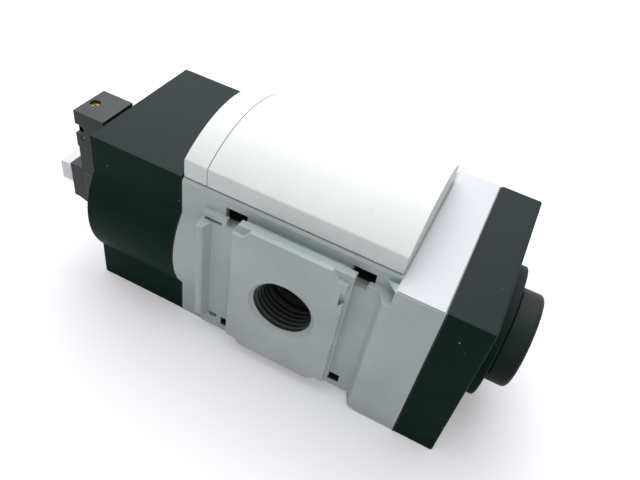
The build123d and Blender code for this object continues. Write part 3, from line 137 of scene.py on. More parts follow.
# The record's material slots and the finish each one gets
slotFinish = {
    "body_casting": "bodyCasting", "cap_plastic": "capPlastic", "cover_plastic": "coverPlastic",
    "label_film": "labelFilm", "seal_rubber": "sealRubber", "screw_steel": "screwSteel",
    "stem_steel": "stemSteel", "piston_plastic": "pistonPlastic", "bush_plastic": "bushPlastic",
    "seat_aluminium": "seatAluminium", "spring_steel": "springSteel", "yoke_steel": "yokeSteel",
    "pilot_plastic": "pilotPlastic", "copper_winding": "copperWinding", "brass_parts": "brassParts",
    "pin_metal": "pinMetal", "clear_plastic": "clearPlastic",
}


def addNode(tree, kind, x, y, **settings):
    node = tree.nodes.new(kind)
    node.location = (x, y)
    for key, value in settings.items():
        setattr(node, key, value)
    return node


def mixColors(tree, x, y, factor, first, second):
    # first and second are sockets or plain colours
    mix = addNode(tree, "ShaderNodeMix", x, y, data_type="RGBA")
    tree.links.new(factor, mix.inputs[0])
    for socket, value in ((mix.inputs[6], first), (mix.inputs[7], second)):
        if isinstance(value, tuple):
            socket.default_value = (*value, 1.0)
        else:
            tree.links.new(value, socket)
    return mix.outputs[2]


def mathStep(tree, x, y, operation, first, second=None, third=None):
    # A math node whose inputs are sockets or plain numbers; returns its output
    node = addNode(tree, "ShaderNodeMath", x, y, operation=operation)
    for socket, value in zip(node.inputs, (first, second, third)):
        if isinstance(value, (int, float)):
            socket.default_value = value
        elif value is not None:
            tree.links.new(value, socket)
    return node.outputs[0]


def rangeStep(tree, x, y, value, fromMin, fromMax, toMin, toMax, smooth=False):
    # A map range node whose limits are sockets or plain numbers
    node = addNode(tree, "ShaderNodeMapRange", x, y)
    if smooth:
        node.interpolation_type = "SMOOTHSTEP"
    tree.links.new(value, node.inputs["Value"])
    for label, limit in (("From Min", fromMin), ("From Max", fromMax), ("To Min", toMin), ("To Max", toMax)):
        if isinstance(limit, (int, float)):
            node.inputs[label].default_value = limit
        else:
            tree.links.new(limit, node.inputs[label])
    return node.outputs[0]


def vectorStep(tree, x, y, operation, first, second=None):
    # A vector math node whose inputs are sockets or plain triples; returns the node
    node = addNode(tree, "ShaderNodeVectorMath", x, y, operation=operation)
    for socket, value in zip(node.inputs, (first, second)):
        if isinstance(value, tuple):
            socket.default_value = value
        elif value is not None:
            tree.links.new(value, socket)
    return node


def noiseStep(tree, x, y, position, scale, detail):
    # Noise over the piece; returns its level
    node = addNode(tree, "ShaderNodeTexNoise", x, y)
    node.inputs["Scale"].default_value = scale
    node.inputs["Detail"].default_value = detail
    tree.links.new(position, node.inputs["Vector"])
    return node.outputs[0]


# The lacquer stops behind the cone at each port mouth and at the outer skin; the bare metal past it is
# painted near-black as painted shade
# of the deep bore and openings. Bare is what lies in a cylinder round the port axis or in one of three boxes,
# each by its centre and half sizes:
# the inside, the backs of the upper clamp windows, and the lower windows, all darkened as painted shade of
# these deep openings
paintAndShadeLimit = {"portAxis": (0.0114, 0.0, 0.0303), "portRadius": 0.01142, "portReach": 0.0291,
              "boxes": [((0.0142, 0.0, 0.0304), (0.0414, 0.0233, 0.0288)),
                        ((0.0114, 0.0, 0.0552), (0.0242, 0.0237, 0.0014)),
                        ((0.0114, 0.0, 0.0064), (0.0242, 0.0266, 0.0023))]}


def portPlace(tree, position):
    # Distance from the port axis, and distance from the middle plane
    fromAxis = vectorStep(tree, -1050, 700, "SUBTRACT", position, paintAndShadeLimit["portAxis"])
    flattened = vectorStep(tree, -850, 700, "MULTIPLY", fromAxis.outputs[0], (1.0, 0.0, 1.0))
    radius = vectorStep(tree, -650, 700, "LENGTH", flattened.outputs[0])
    split = addNode(tree, "ShaderNodeSeparateXYZ", -850, 550)
    tree.links.new(fromAxis.outputs[0], split.inputs[0])
    return radius.outputs["Value"], mathStep(tree, -650, 550, "ABSOLUTE", split.outputs["Y"])


def boxMask(tree, position, y, centre, half):
    # 1 inside a box, 0 outside
    fromCentre = vectorStep(tree, -1050, y, "SUBTRACT", position, centre)
    away = vectorStep(tree, -850, y, "ABSOLUTE", fromCentre.outputs[0])
    left = vectorStep(tree, -650, y, "SUBTRACT", half, away.outputs[0])
    split = addNode(tree, "ShaderNodeSeparateXYZ", -450, y)
    tree.links.new(left.outputs[0], split.inputs[0])
    least = mathStep(tree, -100, y, "MINIMUM", split.outputs["Z"],
                     mathStep(tree, -250, y, "MINIMUM", split.outputs["X"], split.outputs["Y"]))
    return mathStep(tree, 50, y, "GREATER_THAN", least, 0.0)


def bareAndShadeMask(tree, position):
    # 1 on the bare surfaces inside the casting, which get the dark painted shade, 0 on the lacquered ones
    radius, reach = portPlace(tree, position)
    bareShade = mathStep(tree, -250, 650, "MULTIPLY",
                    mathStep(tree, -450, 700, "LESS_THAN", radius, paintAndShadeLimit["portRadius"]),
                    mathStep(tree, -450, 550, "LESS_THAN", reach, paintAndShadeLimit["portReach"]))
    for i, (centre, half) in enumerate(paintAndShadeLimit["boxes"]):
        y = 900 + 200 * i
        bareShade = mathStep(tree, 200, y, "MAXIMUM", bareShade, boxMask(tree, position, y, centre, half))
    return bareShade


def crestHighlightMask(tree, position, crest):
    # 1 on the thread crests near the mouth, fading into the bore and down to the thread root: where the
    # painted highlight goes
    radius, reach = portPlace(tree, position)
    high = rangeStep(tree, -450, 700, radius, *crest["radius"], 1.0, 0.0)
    near = rangeStep(tree, -450, 550, reach, *crest["reach"], 0.0, 1.0)
    return mathStep(tree, -250, 650, "MULTIPLY", high, near)


# What all the finishes share: how tone, the painted edge highlights, dust with painted sheen on the tops, and
# gloss change over a piece
surface = {"driftScale": 45.0, "driftDetail": 4.0, "driftBand": (0.35, 0.65),
           "speckWidth": 0.28, "speckCore": 0.45,
           "edgeSamples": 6, "edgeBand": (0.985, 0.80), "edgePatches": (0.45, 1.0),
           "dustFacing": (0.35, 0.95), "dustBand": (0.3, 0.7), "dustShare": (0.8, 1.0),
           "grainDetail": 3.0, "grainStrength": 0.5, "glossBand": (0.3, 0.7), "glossSpread": (-0.05, 0.06)}


def makeFinish(name, recipe):
    material = bpy.data.materials.new(name)
    material.use_nodes = True
    tree = material.node_tree
    tree.nodes.clear()
    link = tree.links.new
    output = addNode(tree, "ShaderNodeOutputMaterial", 900, 0)
    shader = addNode(tree, "ShaderNodeBsdfPrincipled", 620, 0)
    link(shader.outputs[0], output.inputs[0])
    shader.inputs["Metallic"].default_value = recipe.get("metallic", 0.0)
    shader.inputs["Specular IOR Level"].default_value = recipe.get("shine", 0.5)
    place = addNode(tree, "ShaderNodeTexCoord", -1300, 0)
    position = place.outputs["Object"]

    # Slow drift of tone over the moulding or casting
    drift = noiseStep(tree, -1050, 250, position, surface["driftScale"], surface["driftDetail"])
    level = rangeStep(tree, -850, 250, drift, *surface["driftBand"], 0.0, 1.0)
    tone = mixColors(tree, -620, 250, level, recipe["deep"], recipe["color"])

    # Small specks: dust on the plastics, bright grains in the casting
    cells = addNode(tree, "ShaderNodeTexVoronoi", -1050, -50)
    cells.inputs["Scale"].default_value = recipe["speckSize"]
    link(position, cells.inputs["Vector"])
    cellPick = addNode(tree, "ShaderNodeSeparateColor", -850, -150)
    link(cells.outputs["Color"], cellPick.inputs[0])
    rare = mathStep(tree, -650, -150, "LESS_THAN", cellPick.outputs[0], recipe["speckShare"])
    width = recipe.get("speckWidth", surface["speckWidth"])
    core = width * surface["speckCore"]
    nearCentre = rangeStep(tree, -650, 0, cells.outputs["Distance"], width, core, 0.0, 1.0)
    speckMask = mathStep(tree, -450, -80, "MULTIPLY", rare, nearCentre)
    specked = mixColors(tree, -250, 200, speckMask, tone, recipe["speck"])

    # Painted highlight on edges: where the rounded normal differs from the true one, the rim colour is mixed
    # into the base colour
    rounded = addNode(tree, "ShaderNodeBevel", -1050, -420, samples=surface["edgeSamples"])
    rounded.inputs["Radius"].default_value = recipe["edge"]
    flat = addNode(tree, "ShaderNodeNewGeometry", -1050, -600)
    agree = vectorStep(tree, -850, -480, "DOT_PRODUCT", rounded.outputs[0], flat.outputs["Normal"])
    edge = rangeStep(tree, -650, -480, agree.outputs["Value"], *surface["edgeBand"], 0.0, recipe["rim"])
    share = rangeStep(tree, -650, -650, drift, *surface["driftBand"], *surface["edgePatches"])
    paintedEdgeHighlight = mathStep(tree, -430, -420, "MULTIPLY", edge, share)
    colorWithPaintedLight = mixColors(tree, -20, 200, paintedEdgeHighlight, specked, recipe["paintedRimHighlight"])
    if "dust" in recipe:
        # Faces that look up get a lighter colour: partly fine dust, partly painted sheen from the lamps above
        facing = addNode(tree, "ShaderNodeSeparateXYZ", -650, -800)
        link(flat.outputs["Normal"], facing.inputs[0])
        lying = rangeStep(tree, -450, -800, facing.outputs["Z"], *surface["dustFacing"], 0.0, 1.0)
        dustSheenFilm = rangeStep(tree, -650, 400, drift, *surface["dustBand"], *surface["dustShare"])
        colorWithPaintedLight = mixColors(tree, 180, 100, mathStep(tree, 0, 0, "MULTIPLY", lying, dustSheenFilm), colorWithPaintedLight, recipe["dust"])
    # Painted highlight on the thread crests near the mouth
    if "crest" in recipe:
        crest = recipe["crest"]
        colorWithPaintedLight = mixColors(tree, 180, 500, crestHighlightMask(tree, position, crest), colorWithPaintedLight, crest["color"])
    # The lead cone keeps the lacquer colour; further in stays the painted shade of the bore
    if "paintedLead" in recipe:
        colorWithPaintedLight = mixColors(tree, 380, 400, bareAndShadeMask(tree, position), recipe["paintedLead"], colorWithPaintedLight)
    # Bare metal inside the casting gets the near-black painted shade of the deep bore and openings
    if "bareInsideShade" in recipe:
        colorWithPaintedLight = mixColors(tree, 380, 400, bareAndShadeMask(tree, position), colorWithPaintedLight, recipe["bareInsideShade"])
    link(colorWithPaintedLight, shader.inputs["Base Color"])

    # Grain: bump and a little change of gloss
    grain = noiseStep(tree, -450, -1000, position, recipe["grain"], surface["grainDetail"])
    low, high = (recipe["roughness"] + change for change in surface["glossSpread"])
    gloss = rangeStep(tree, 200, -200, drift, *surface["glossBand"], low, high)
    link(gloss, shader.inputs["Roughness"])
    bump = addNode(tree, "ShaderNodeBump", 300, -500)
    bump.inputs["Strength"].default_value = surface["grainStrength"]
    bump.inputs["Distance"].default_value = recipe["grainDepth"]
    link(grain, bump.inputs["Height"])
    link(rounded.outputs[0], bump.inputs["Normal"])
    link(bump.outputs[0], shader.inputs["Normal"])
    return material


materials = {name: makeFinish(name, recipe) for name, recipe in finishes.items()}

# Milky dust cover: light passes through, with a faint moulded haze
pinCoverFinish = {"color": (0.97, 0.98, 0.98), "shade": 0.94, "cloudScale": 260.0, "cloudDetail": 2.0,
                  "gloss": (0.18, 0.63), "transmission": 0.35, "refraction": 1.46}


def makeClearPlastic(name, recipe):
    material = bpy.data.materials.new(name)
    material.use_nodes = True
    tree = material.node_tree
    shader = tree.nodes["Principled BSDF"]
    shader.inputs["Transmission Weight"].default_value = recipe["transmission"]
    shader.inputs["IOR"].default_value = recipe["refraction"]
    place = addNode(tree, "ShaderNodeTexCoord", -900, 0)
    cloud = noiseStep(tree, -700, 0, place.outputs["Object"], recipe["cloudScale"], recipe["cloudDetail"])
    shaded = tuple(recipe["shade"] * c for c in recipe["color"])
    tint = mixColors(tree, -400, 100, cloud, recipe["color"], shaded)
    tree.links.new(tint, shader.inputs["Base Color"])
    gloss = rangeStep(tree, -400, -200, cloud, 0.0, 1.0, *recipe["gloss"])
    tree.links.new(gloss, shader.inputs["Roughness"])
    return material


materials["clearPlastic"] = makeClearPlastic("clearPlastic", pinCoverFinish)
print("finishes made:", len(materials))


def dressNode(nodeName, finishName):
    target = frame["nodes"][nodeName]
    target.data.materials.clear()
    target.data.materials.append(materials[finishName])


for part in frame["record"]["subparts"]:
    dressNode(part["node"], slotFinish[part["material_slot"]])
dressNode("exhaust_plug", "plugPlastic")
print("CAD nodes dressed")


def newTree(name, inputs):
    # A geometry tree with named inputs; returns the tree and its group input node
    tree = bpy.data.node_groups.new(name, "GeometryNodeTree")
    for label, kind, value in inputs:
        socket = tree.interface.new_socket(label, in_out="INPUT", socket_type=kind)
        if value is not None:
            socket.default_value = value
    tree.interface.new_socket("Geometry", in_out="OUTPUT", socket_type="NodeSocketGeometry")
    return tree, addNode(tree, "NodeGroupInput", -1200, 0)


def finishTree(tree, given, x, geometry):
    # The end of a geometry tree: real geometry, its material and the output
    whole = addNode(tree, "GeometryNodeRealizeInstances", x, 0)
    tree.links.new(geometry, whole.inputs[0])
    painted = addNode(tree, "GeometryNodeSetMaterial", x + 200, 0)
    tree.links.new(whole.outputs[0], painted.inputs["Geometry"])
    tree.links.new(given.outputs["Finish"], painted.inputs["Material"])
    leave = addNode(tree, "NodeGroupOutput", x + 400, 0)
    tree.links.new(painted.outputs[0], leave.inputs[0])


def growPiece(name, tree, values, placing, bodyName):
    # Runs a geometry tree with the given values and keeps its result as a plain mesh, placed by a matrix
    carrier = bpy.data.objects.new(name + "Carrier", bpy.data.meshes.new(name + "Carrier"))
    bpy.context.scene.collection.objects.link(carrier)
    modifier = carrier.modifiers.new("grow", "NODES")
    modifier.node_group = tree
    for item in tree.interface.items_tree:
        if item.item_type == "SOCKET" and item.in_out == "INPUT" and item.name in values:
            modifier[item.identifier] = values[item.name]
    carrier.update_tag()
    bpy.context.view_layer.update()
    grown = carrier.evaluated_get(bpy.context.evaluated_depsgraph_get())
    mesh = bpy.data.meshes.new_from_object(grown)
    mesh.transform(placing)
    mesh.name = name
    bpy.data.objects.remove(carrier)
    piece = bpy.data.objects.new(name, mesh)
    bpy.context.scene.collection.objects.link(piece)
    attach(piece, bodyName)
    return piece


# Threads of the two ports, by the size of the standard 1/2 inch pipe thread. The lead is the
# cone at the mouth, which cuts the first crests away. flank and closingShare are shares of half a
# pitch and of the length
portThread = {"pitch": 0.001814, "rootRadius": 0.01053, "crestRadius": 0.00932, "leadRadius": 0.01138,
              "length": 0.0128, "fadeLength": 0.0022, "wall": 0.00012, "weld": 0.000002,
              "flank": (0.1, 0.9), "closingShare": 0.005, "stepsAround": 144, "stepsPerTurn": 14}


def rolledSheet(tree, given, x, y, radius, angle, depth, flip):
    # A grid rolled up round Z at the given radius, its length along Z
    link = tree.links.new
    grid = addNode(tree, "GeometryNodeMeshGrid", x, y)
    link(given.outputs["Steps Around"], grid.inputs["Vertices X"])
    link(given.outputs["Steps Along"], grid.inputs["Vertices Y"])
    grid.inputs["Size X"].default_value = 1.0
    grid.inputs["Size Y"].default_value = 1.0
    place = addNode(tree, "ShaderNodeCombineXYZ", x, y - 200)
    for operation, axis, low in (("COSINE", "X", 150), ("SINE", "Y", 300)):
        ratio = mathStep(tree, x - 400, y - low, operation, angle)
        link(mathStep(tree, x - 200, y - low, "MULTIPLY", ratio, radius), place.inputs[axis])
    link(depth, place.inputs["Z"])
    rolled = addNode(tree, "GeometryNodeSetPosition", x + 200, y)
    link(grid.outputs["Mesh"], rolled.inputs["Geometry"])
    link(place.outputs[0], rolled.inputs["Position"])
    if not flip:
        return rolled.outputs[0]
    turned = addNode(tree, "GeometryNodeFlipFaces", x + 400, y)
    link(rolled.outputs[0], turned.inputs[0])
    return turned.outputs[0]


def buildThreadTree(shape):
    # A liner inside the port: its inner skin follows the thread, its outer skin is sunk in the wall
    tree, given = newTree("threadLiner", [
        ("Pitch", "NodeSocketFloat", 0.0018), ("Length", "NodeSocketFloat", 0.0128),
        ("Root Radius", "NodeSocketFloat", 0.0105), ("Crest Radius", "NodeSocketFloat", 0.0093),
        ("Lead Radius", "NodeSocketFloat", 0.0114), ("Fade Length", "NodeSocketFloat", 0.0022),
        ("Wall", "NodeSocketFloat", 0.0001), ("Weld", "NodeSocketFloat", 0.000002),
        ("Steps Around", "NodeSocketInt", 144), ("Steps Along", "NodeSocketInt", 100),
        ("Finish", "NodeSocketMaterial", None)])
    link = tree.links.new
    pitch, length = given.outputs["Pitch"], given.outputs["Length"]
    root, crest, lead = (given.outputs[label] for label in ("Root Radius", "Crest Radius", "Lead Radius"))
    spot = addNode(tree, "GeometryNodeInputPosition", -1200, 500)
    split = addNode(tree, "ShaderNodeSeparateXYZ", -1050, 500)
    link(spot.outputs[0], split.inputs[0])
    turn = mathStep(tree, -900, 600, "ADD", split.outputs["X"], 0.5)
    angle = mathStep(tree, -750, 600, "MULTIPLY", turn, math.tau)
    along = mathStep(tree, -900, 400, "ADD", split.outputs["Y"], 0.5)
    start = mathStep(tree, -900, 250, "SUBTRACT", lead, root)
    depth = mathStep(tree, -600, 400, "ADD", mathStep(tree, -750, 400, "MULTIPLY", along, length), start)

    # Rounded V, one per pitch, shifted by one pitch in each turn
    helix = mathStep(tree, -450, 500, "ADD", depth, mathStep(tree, -600, 600, "MULTIPLY", turn, pitch))
    halfPitch = mathStep(tree, -600, 750, "MULTIPLY", pitch, 0.5)
    folded = mathStep(tree, -300, 650, "PINGPONG", helix, halfPitch)
    wave = mathStep(tree, -300, 500, "DIVIDE", folded, halfPitch)
    thread = rangeStep(tree, -150, 500, wave, *shape["flank"], crest, root, smooth=True)
    cone = mathStep(tree, -150, 300, "SUBTRACT", lead, depth)
    cut = mathStep(tree, 0, 400, "MAXIMUM", thread, cone)
    fadeStart = mathStep(tree, -300, 100, "SUBTRACT", length, given.outputs["Fade Length"])
    fade = rangeStep(tree, -150, 100, depth, fadeStart, length, 0.0, 1.0)
    drop = mathStep(tree, 150, 200, "MULTIPLY", mathStep(tree, 0, 200, "SUBTRACT", root, cut), fade)
    inner = mathStep(tree, 300, 300, "ADD", cut, drop)
    innerSkin = mathStep(tree, 450, 300, "MINIMUM", inner, root)

    # The outer skin meets the inner one at both ends
    toEnd = mathStep(tree, -150, -100, "MINIMUM", along, mathStep(tree, -300, -100, "SUBTRACT", 1.0, along))
    opening = rangeStep(tree, 0, -100, toEnd, 0.0, shape["closingShare"], 0.0, 1.0)
    bulge = mathStep(tree, 150, -100, "MULTIPLY", opening, given.outputs["Wall"])
    outerSkin = mathStep(tree, 300, -100, "ADD", root, bulge)

    both = addNode(tree, "GeometryNodeJoinGeometry", 1500, 100)
    link(rolledSheet(tree, given, 1000, 300, innerSkin, angle, depth, True), both.inputs[0])
    link(rolledSheet(tree, given, 1000, -300, outerSkin, angle, depth, False), both.inputs[0])
    weld = addNode(tree, "GeometryNodeMergeByDistance", 1700, 100)
    link(given.outputs["Weld"], weld.inputs["Distance"])
    link(both.outputs[0], weld.inputs["Geometry"])
    smooth = addNode(tree, "GeometryNodeSetShadeSmooth", 1900, 100)
    link(weld.outputs[0], smooth.inputs["Geometry"])
    finishTree(tree, given, 2100, smooth.outputs[0])
    return tree


def cutThreads(tree, settings):
    axisPoint = Vector(frame["record"]["mounts"][0]["pos_m"])
    stepsAlong = round(settings["length"] / settings["pitch"] * settings["stepsPerTurn"])
    for side, name in ((-1, "supplyThread"), (1, "outputThread")):
        mouth = Vector((axisPoint.x, side * cadHigh.y, axisPoint.z))
        # Z of the tree runs into the port
        placing = Matrix.Translation(mouth) @ Matrix.Rotation(math.radians(90 * side), 4, "X")
        growPiece(name, tree, {
            "Pitch": settings["pitch"], "Length": settings["length"], "Root Radius": settings["rootRadius"],
            "Crest Radius": settings["crestRadius"], "Lead Radius": settings["leadRadius"],
            "Fade Length": settings["fadeLength"], "Wall": settings["wall"], "Weld": settings["weld"],
            "Steps Around": settings["stepsAround"], "Steps Along": stepsAlong,
            "Finish": materials["threadMetalShaded"],
        }, placing, "housing")


cutThreads(buildThreadTree(portThread), portThread)
print("port threads cut")

# Socket head screws, in metres. Their places and lengths come from the solids that they replace.
# facing is the way the heads look along X
screwSets = {
    "pilotCapScrews": {"node": "pilot_cap_screws", "facing": -1, "headRadius": 0.00275, "headHeight": 0.003,
                       "shankRadius": 0.0015, "knurls": 30},
    "exhaustCapScrews": {"node": "exhaust_cap_screws", "facing": 1, "headRadius": 0.0035, "headHeight": 0.004,
                         "shankRadius": 0.002, "knurls": 36},
    "pilotHeadScrews": {"node": "pilot_screws", "facing": -1, "headRadius": 0.0022, "headHeight": 0.002,
                        "shankRadius": 0.00125, "knurls": 24},
    "pilotFootScrew": {"node": "pilot_foot_screw", "facing": -1, "headRadius": 0.0022, "headHeight": 0.002,
                       "shankRadius": 0.00125, "knurls": 24},
}
# Bevels, knurls and the socket's width are shares of the head's radius. The socket's depth, the
# knurled band and how far the shank goes into the head are shares of the head's height
screwShape = {"topBevel": 0.08, "underBevel": 0.03, "knurlDepth": 0.035, "socketShare": 0.5,
              "socketDepth": 0.6, "sidesPerKnurl": 4, "headRings": 8, "knurlBand": (0.2, 0.8),
              "shankSunk": 0.9, "shankSides": 32}


def buildScrewTree(shape):
    # One screw along Z, its head's face at zero, set at each point of a grid
    tree, given = newTree("socketScrews", [
        ("Head Radius", "NodeSocketFloat", 0.003), ("Head Height", "NodeSocketFloat", 0.003),
        ("Shank Radius", "NodeSocketFloat", 0.0015), ("Length", "NodeSocketFloat", 0.02),
        ("Knurls", "NodeSocketInt", 30), ("Knurl Depth", "NodeSocketFloat", 0.03),
        ("Top Bevel", "NodeSocketFloat", 0.08), ("Under Bevel", "NodeSocketFloat", 0.03),
        ("Socket Share", "NodeSocketFloat", 0.5), ("Socket Depth", "NodeSocketFloat", 0.6),
        ("Sides", "NodeSocketInt", 120),
        ("Spacing A", "NodeSocketFloat", 0.0), ("Spacing B", "NodeSocketFloat", 0.0),
        ("Count A", "NodeSocketInt", 1), ("Count B", "NodeSocketInt", 1),
        ("Finish", "NodeSocketMaterial", None)])
    link = tree.links.new
    give = given.outputs
    headRadius, headHeight = give["Head Radius"], give["Head Height"]

    # Head: a cylinder whose rim is bevelled above and below and knurled between
    head = addNode(tree, "GeometryNodeMeshCylinder", -900, 300)
    link(give["Sides"], head.inputs["Vertices"])
    head.inputs["Side Segments"].default_value = shape["headRings"]
    link(headRadius, head.inputs["Radius"])
    link(headHeight, head.inputs["Depth"])
    spot = addNode(tree, "GeometryNodeInputPosition", -1200, 700)
    split = addNode(tree, "ShaderNodeSeparateXYZ", -1050, 700)
    link(spot.outputs[0], split.inputs[0])
    fromMiddle = mathStep(tree, -1050, 850, "DIVIDE", split.outputs["Z"], headHeight)
    height = mathStep(tree, -900, 700, "ADD", fromMiddle, 0.5)
    ring = 1 / shape["headRings"]
    top = rangeStep(tree, -700, 900, height, 0.0, ring, give["Top Bevel"], 0.0)
    under = rangeStep(tree, -700, 700, height, 1 - ring, 1.0, 0.0, give["Under Bevel"])
    bandLow, bandHigh = shape["knurlBand"]
    band = mathStep(tree, -400, 600, "MULTIPLY", mathStep(tree, -550, 650, "GREATER_THAN", height, bandLow),
                    mathStep(tree, -550, 550, "LESS_THAN", height, bandHigh))
    angle = mathStep(tree, -900, 500, "ARCTAN2", split.outputs["Y"], split.outputs["X"])
    turns = mathStep(tree, -750, 500, "DIVIDE", angle, math.tau)
    knurl = mathStep(tree, -600, 450, "MULTIPLY", turns, give["Knurls"])
    wave = mathStep(tree, -450, 450, "PINGPONG", knurl, 0.5)
    cut = mathStep(tree, -300, 400, "MULTIPLY", wave, give["Knurl Depth"])
    groove = mathStep(tree, -250, 500, "MULTIPLY", cut, band)
    loss = mathStep(tree, -100, 600, "ADD", groove, mathStep(tree, -250, 750, "ADD", top, under))
    keep = mathStep(tree, 50, 600, "SUBTRACT", 1.0, loss)
    shrink = addNode(tree, "ShaderNodeCombineXYZ", 200, 600)
    link(keep, shrink.inputs["X"])
    link(keep, shrink.inputs["Y"])
    shrink.inputs["Z"].default_value = 1.0
    shaped = vectorStep(tree, 350, 600, "MULTIPLY", spot.outputs[0], shrink.outputs[0])
    rim = addNode(tree, "GeometryNodeSetPosition", 500, 300)
    link(head.outputs["Mesh"], rim.inputs["Geometry"])
    link(shaped.outputs[0], rim.inputs["Position"])

    # Hexagon socket, cut from the face
    halfWidth = mathStep(tree, -750, 0, "MULTIPLY", headRadius, give["Socket Share"])
    hexRadius = mathStep(tree, -600, 0, "DIVIDE", halfWidth, math.cos(math.pi / 6))
    hexDepth = mathStep(tree, -750, -150, "MULTIPLY", headHeight, give["Socket Depth"])
    key = addNode(tree, "GeometryNodeMeshCylinder", -400, 0)
    key.inputs["Vertices"].default_value = 6
    link(hexRadius, key.inputs["Radius"])
    link(mathStep(tree, -600, -150, "MULTIPLY", hexDepth, 2.0), key.inputs["Depth"])
    keyPlace = addNode(tree, "ShaderNodeCombineXYZ", -400, -250)
    link(mathStep(tree, -600, -300, "MULTIPLY", headHeight, -0.5), keyPlace.inputs["Z"])
    keyMoved = addNode(tree, "GeometryNodeTransform", -200, 0)
    link(key.outputs["Mesh"], keyMoved.inputs["Geometry"])
    link(keyPlace.outputs[0], keyMoved.inputs["Translation"])
    socketed = addNode(tree, "GeometryNodeMeshBoolean", 700, 200, operation="DIFFERENCE")
    link(rim.outputs[0], socketed.inputs["Mesh 1"])
    link(keyMoved.outputs[0], socketed.inputs["Mesh 2"])
    headDown = addNode(tree, "ShaderNodeCombineXYZ", 700, 0)
    link(mathStep(tree, 550, 0, "MULTIPLY", headHeight, 0.5), headDown.inputs["Z"])
    headSet = addNode(tree, "GeometryNodeTransform", 900, 200)
    link(socketed.outputs["Mesh"], headSet.inputs["Geometry"])
    link(headDown.outputs[0], headSet.inputs["Translation"])

    # Shank from inside the head to the tip
    sunk = mathStep(tree, -300, -450, "MULTIPLY", headHeight, shape["shankSunk"])
    shankLength = mathStep(tree, -150, -450, "SUBTRACT", give["Length"], sunk)
    shank = addNode(tree, "GeometryNodeMeshCylinder", 50, -400)
    shank.inputs["Vertices"].default_value = shape["shankSides"]
    link(give["Shank Radius"], shank.inputs["Radius"])
    link(shankLength, shank.inputs["Depth"])
    shankPlace = addNode(tree, "ShaderNodeCombineXYZ", 250, -500)
    link(mathStep(tree, 100, -600, "MULTIPLY_ADD", shankLength, 0.5, sunk), shankPlace.inputs["Z"])
    shankSet = addNode(tree, "GeometryNodeTransform", 450, -400)
    link(shank.outputs["Mesh"], shankSet.inputs["Geometry"])
    link(shankPlace.outputs[0], shankSet.inputs["Translation"])
    screw = addNode(tree, "GeometryNodeJoinGeometry", 1100, 0)
    link(headSet.outputs[0], screw.inputs[0])
    link(shankSet.outputs[0], screw.inputs[0])

    grid = addNode(tree, "GeometryNodeMeshGrid", 1100, -300)
    for label, socket in (("Spacing A", "Size X"), ("Spacing B", "Size Y"), ("Count A", "Vertices X"),
                          ("Count B", "Vertices Y")):
        link(give[label], grid.inputs[socket])
    spread = addNode(tree, "GeometryNodeInstanceOnPoints", 1300, 0)
    link(grid.outputs["Mesh"], spread.inputs["Points"])
    link(screw.outputs[0], spread.inputs["Instance"])
    finishTree(tree, given, 1500, spread.outputs[0])
    return tree


def setScrews(tree, name, kind):
    corners = [vertex.co for vertex in frame["nodes"][kind["node"]].data.vertices]
    low = Vector([min(corner[i] for corner in corners) for i in range(3)])
    high = Vector([max(corner[i] for corner in corners) for i in range(3)])
    spacing = [high[i] - low[i] - 2 * kind["headRadius"] for i in (1, 2)]
    counts = [2 if gap > kind["headRadius"] else 1 for gap in spacing]
    faceX = low.x if kind["facing"] < 0 else high.x
    # The tree's Z runs along X from the head's face to the tip, its X along Y and its Y along Z
    turn = Matrix(((0, 0, 1, 0), (1, 0, 0, 0), (0, 1, 0, 0), (0, 0, 0, 1)))
    if kind["facing"] > 0:
        turn = Matrix.Rotation(math.pi, 4, "Z") @ turn
    placing = Matrix.Translation((faceX, (low.y + high.y) / 2, (low.z + high.z) / 2)) @ turn
    screws = growPiece(name, tree, {
        "Head Radius": kind["headRadius"], "Head Height": kind["headHeight"],
        "Shank Radius": kind["shankRadius"], "Length": high.x - low.x,
        "Knurls": kind["knurls"], "Knurl Depth": screwShape["knurlDepth"],
        "Top Bevel": screwShape["topBevel"], "Under Bevel": screwShape["underBevel"],
        "Socket Share": screwShape["socketShare"], "Socket Depth": screwShape["socketDepth"],
        "Sides": kind["knurls"] * screwShape["sidesPerKnurl"],
        "Spacing A": max(spacing[0], 0.0), "Spacing B": max(spacing[1], 0.0),
        "Count A": counts[0], "Count B": counts[1], "Finish": materials["screwSteel"],
    }, placing, "housing")
    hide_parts(kind["node"])


screwTree = buildScrewTree(screwShape)
for name, kind in screwSets.items():
    setScrews(screwTree, name, kind)
print("screws set:", ", ".join(screwSets))

# Floor and surroundings. The floor is lifted to white for the camera, and its lift grows with the
# distance from the piece, between the two lengths of floorFade
studio = {"floorColor": (0.80, 0.793, 0.835), "floorLift": 0.24, "floorFade": (0.30, 1.1), "floorReach": 3.0,
          "floorDrop": 0.00005, "worldStrength": 0.37}

# Soft lamps, all aimed at the middle of the valve
lamps = {
    "keyLamp": {"place": (-0.25, 0.30, 1.10), "size": 1.6, "power": 14.5},
    "backLamp": {"place": (-0.32, 0.80, 0.92), "size": 0.9, "power": 5.5},
    "fillLamp": {"place": (0.25, -0.75, 0.45), "size": 0.8, "power": 0.4},
}
lampAim = (0, 0, 0.03)

# The view of the photograph: lens and sensor in millimetres, then the camera's three axes and its place
cameraView = {"lens": 34.7336, "sensor": 36.0, "clipStart": 0.005,
              "right": (0.891329, 0.426908, 0.152583), "up": (-0.400814, 0.584780, 0.705252),
              "back": (0.211850, -0.689770, 0.692342), "place": (0.0528495, -0.1415806, 0.1764436)}


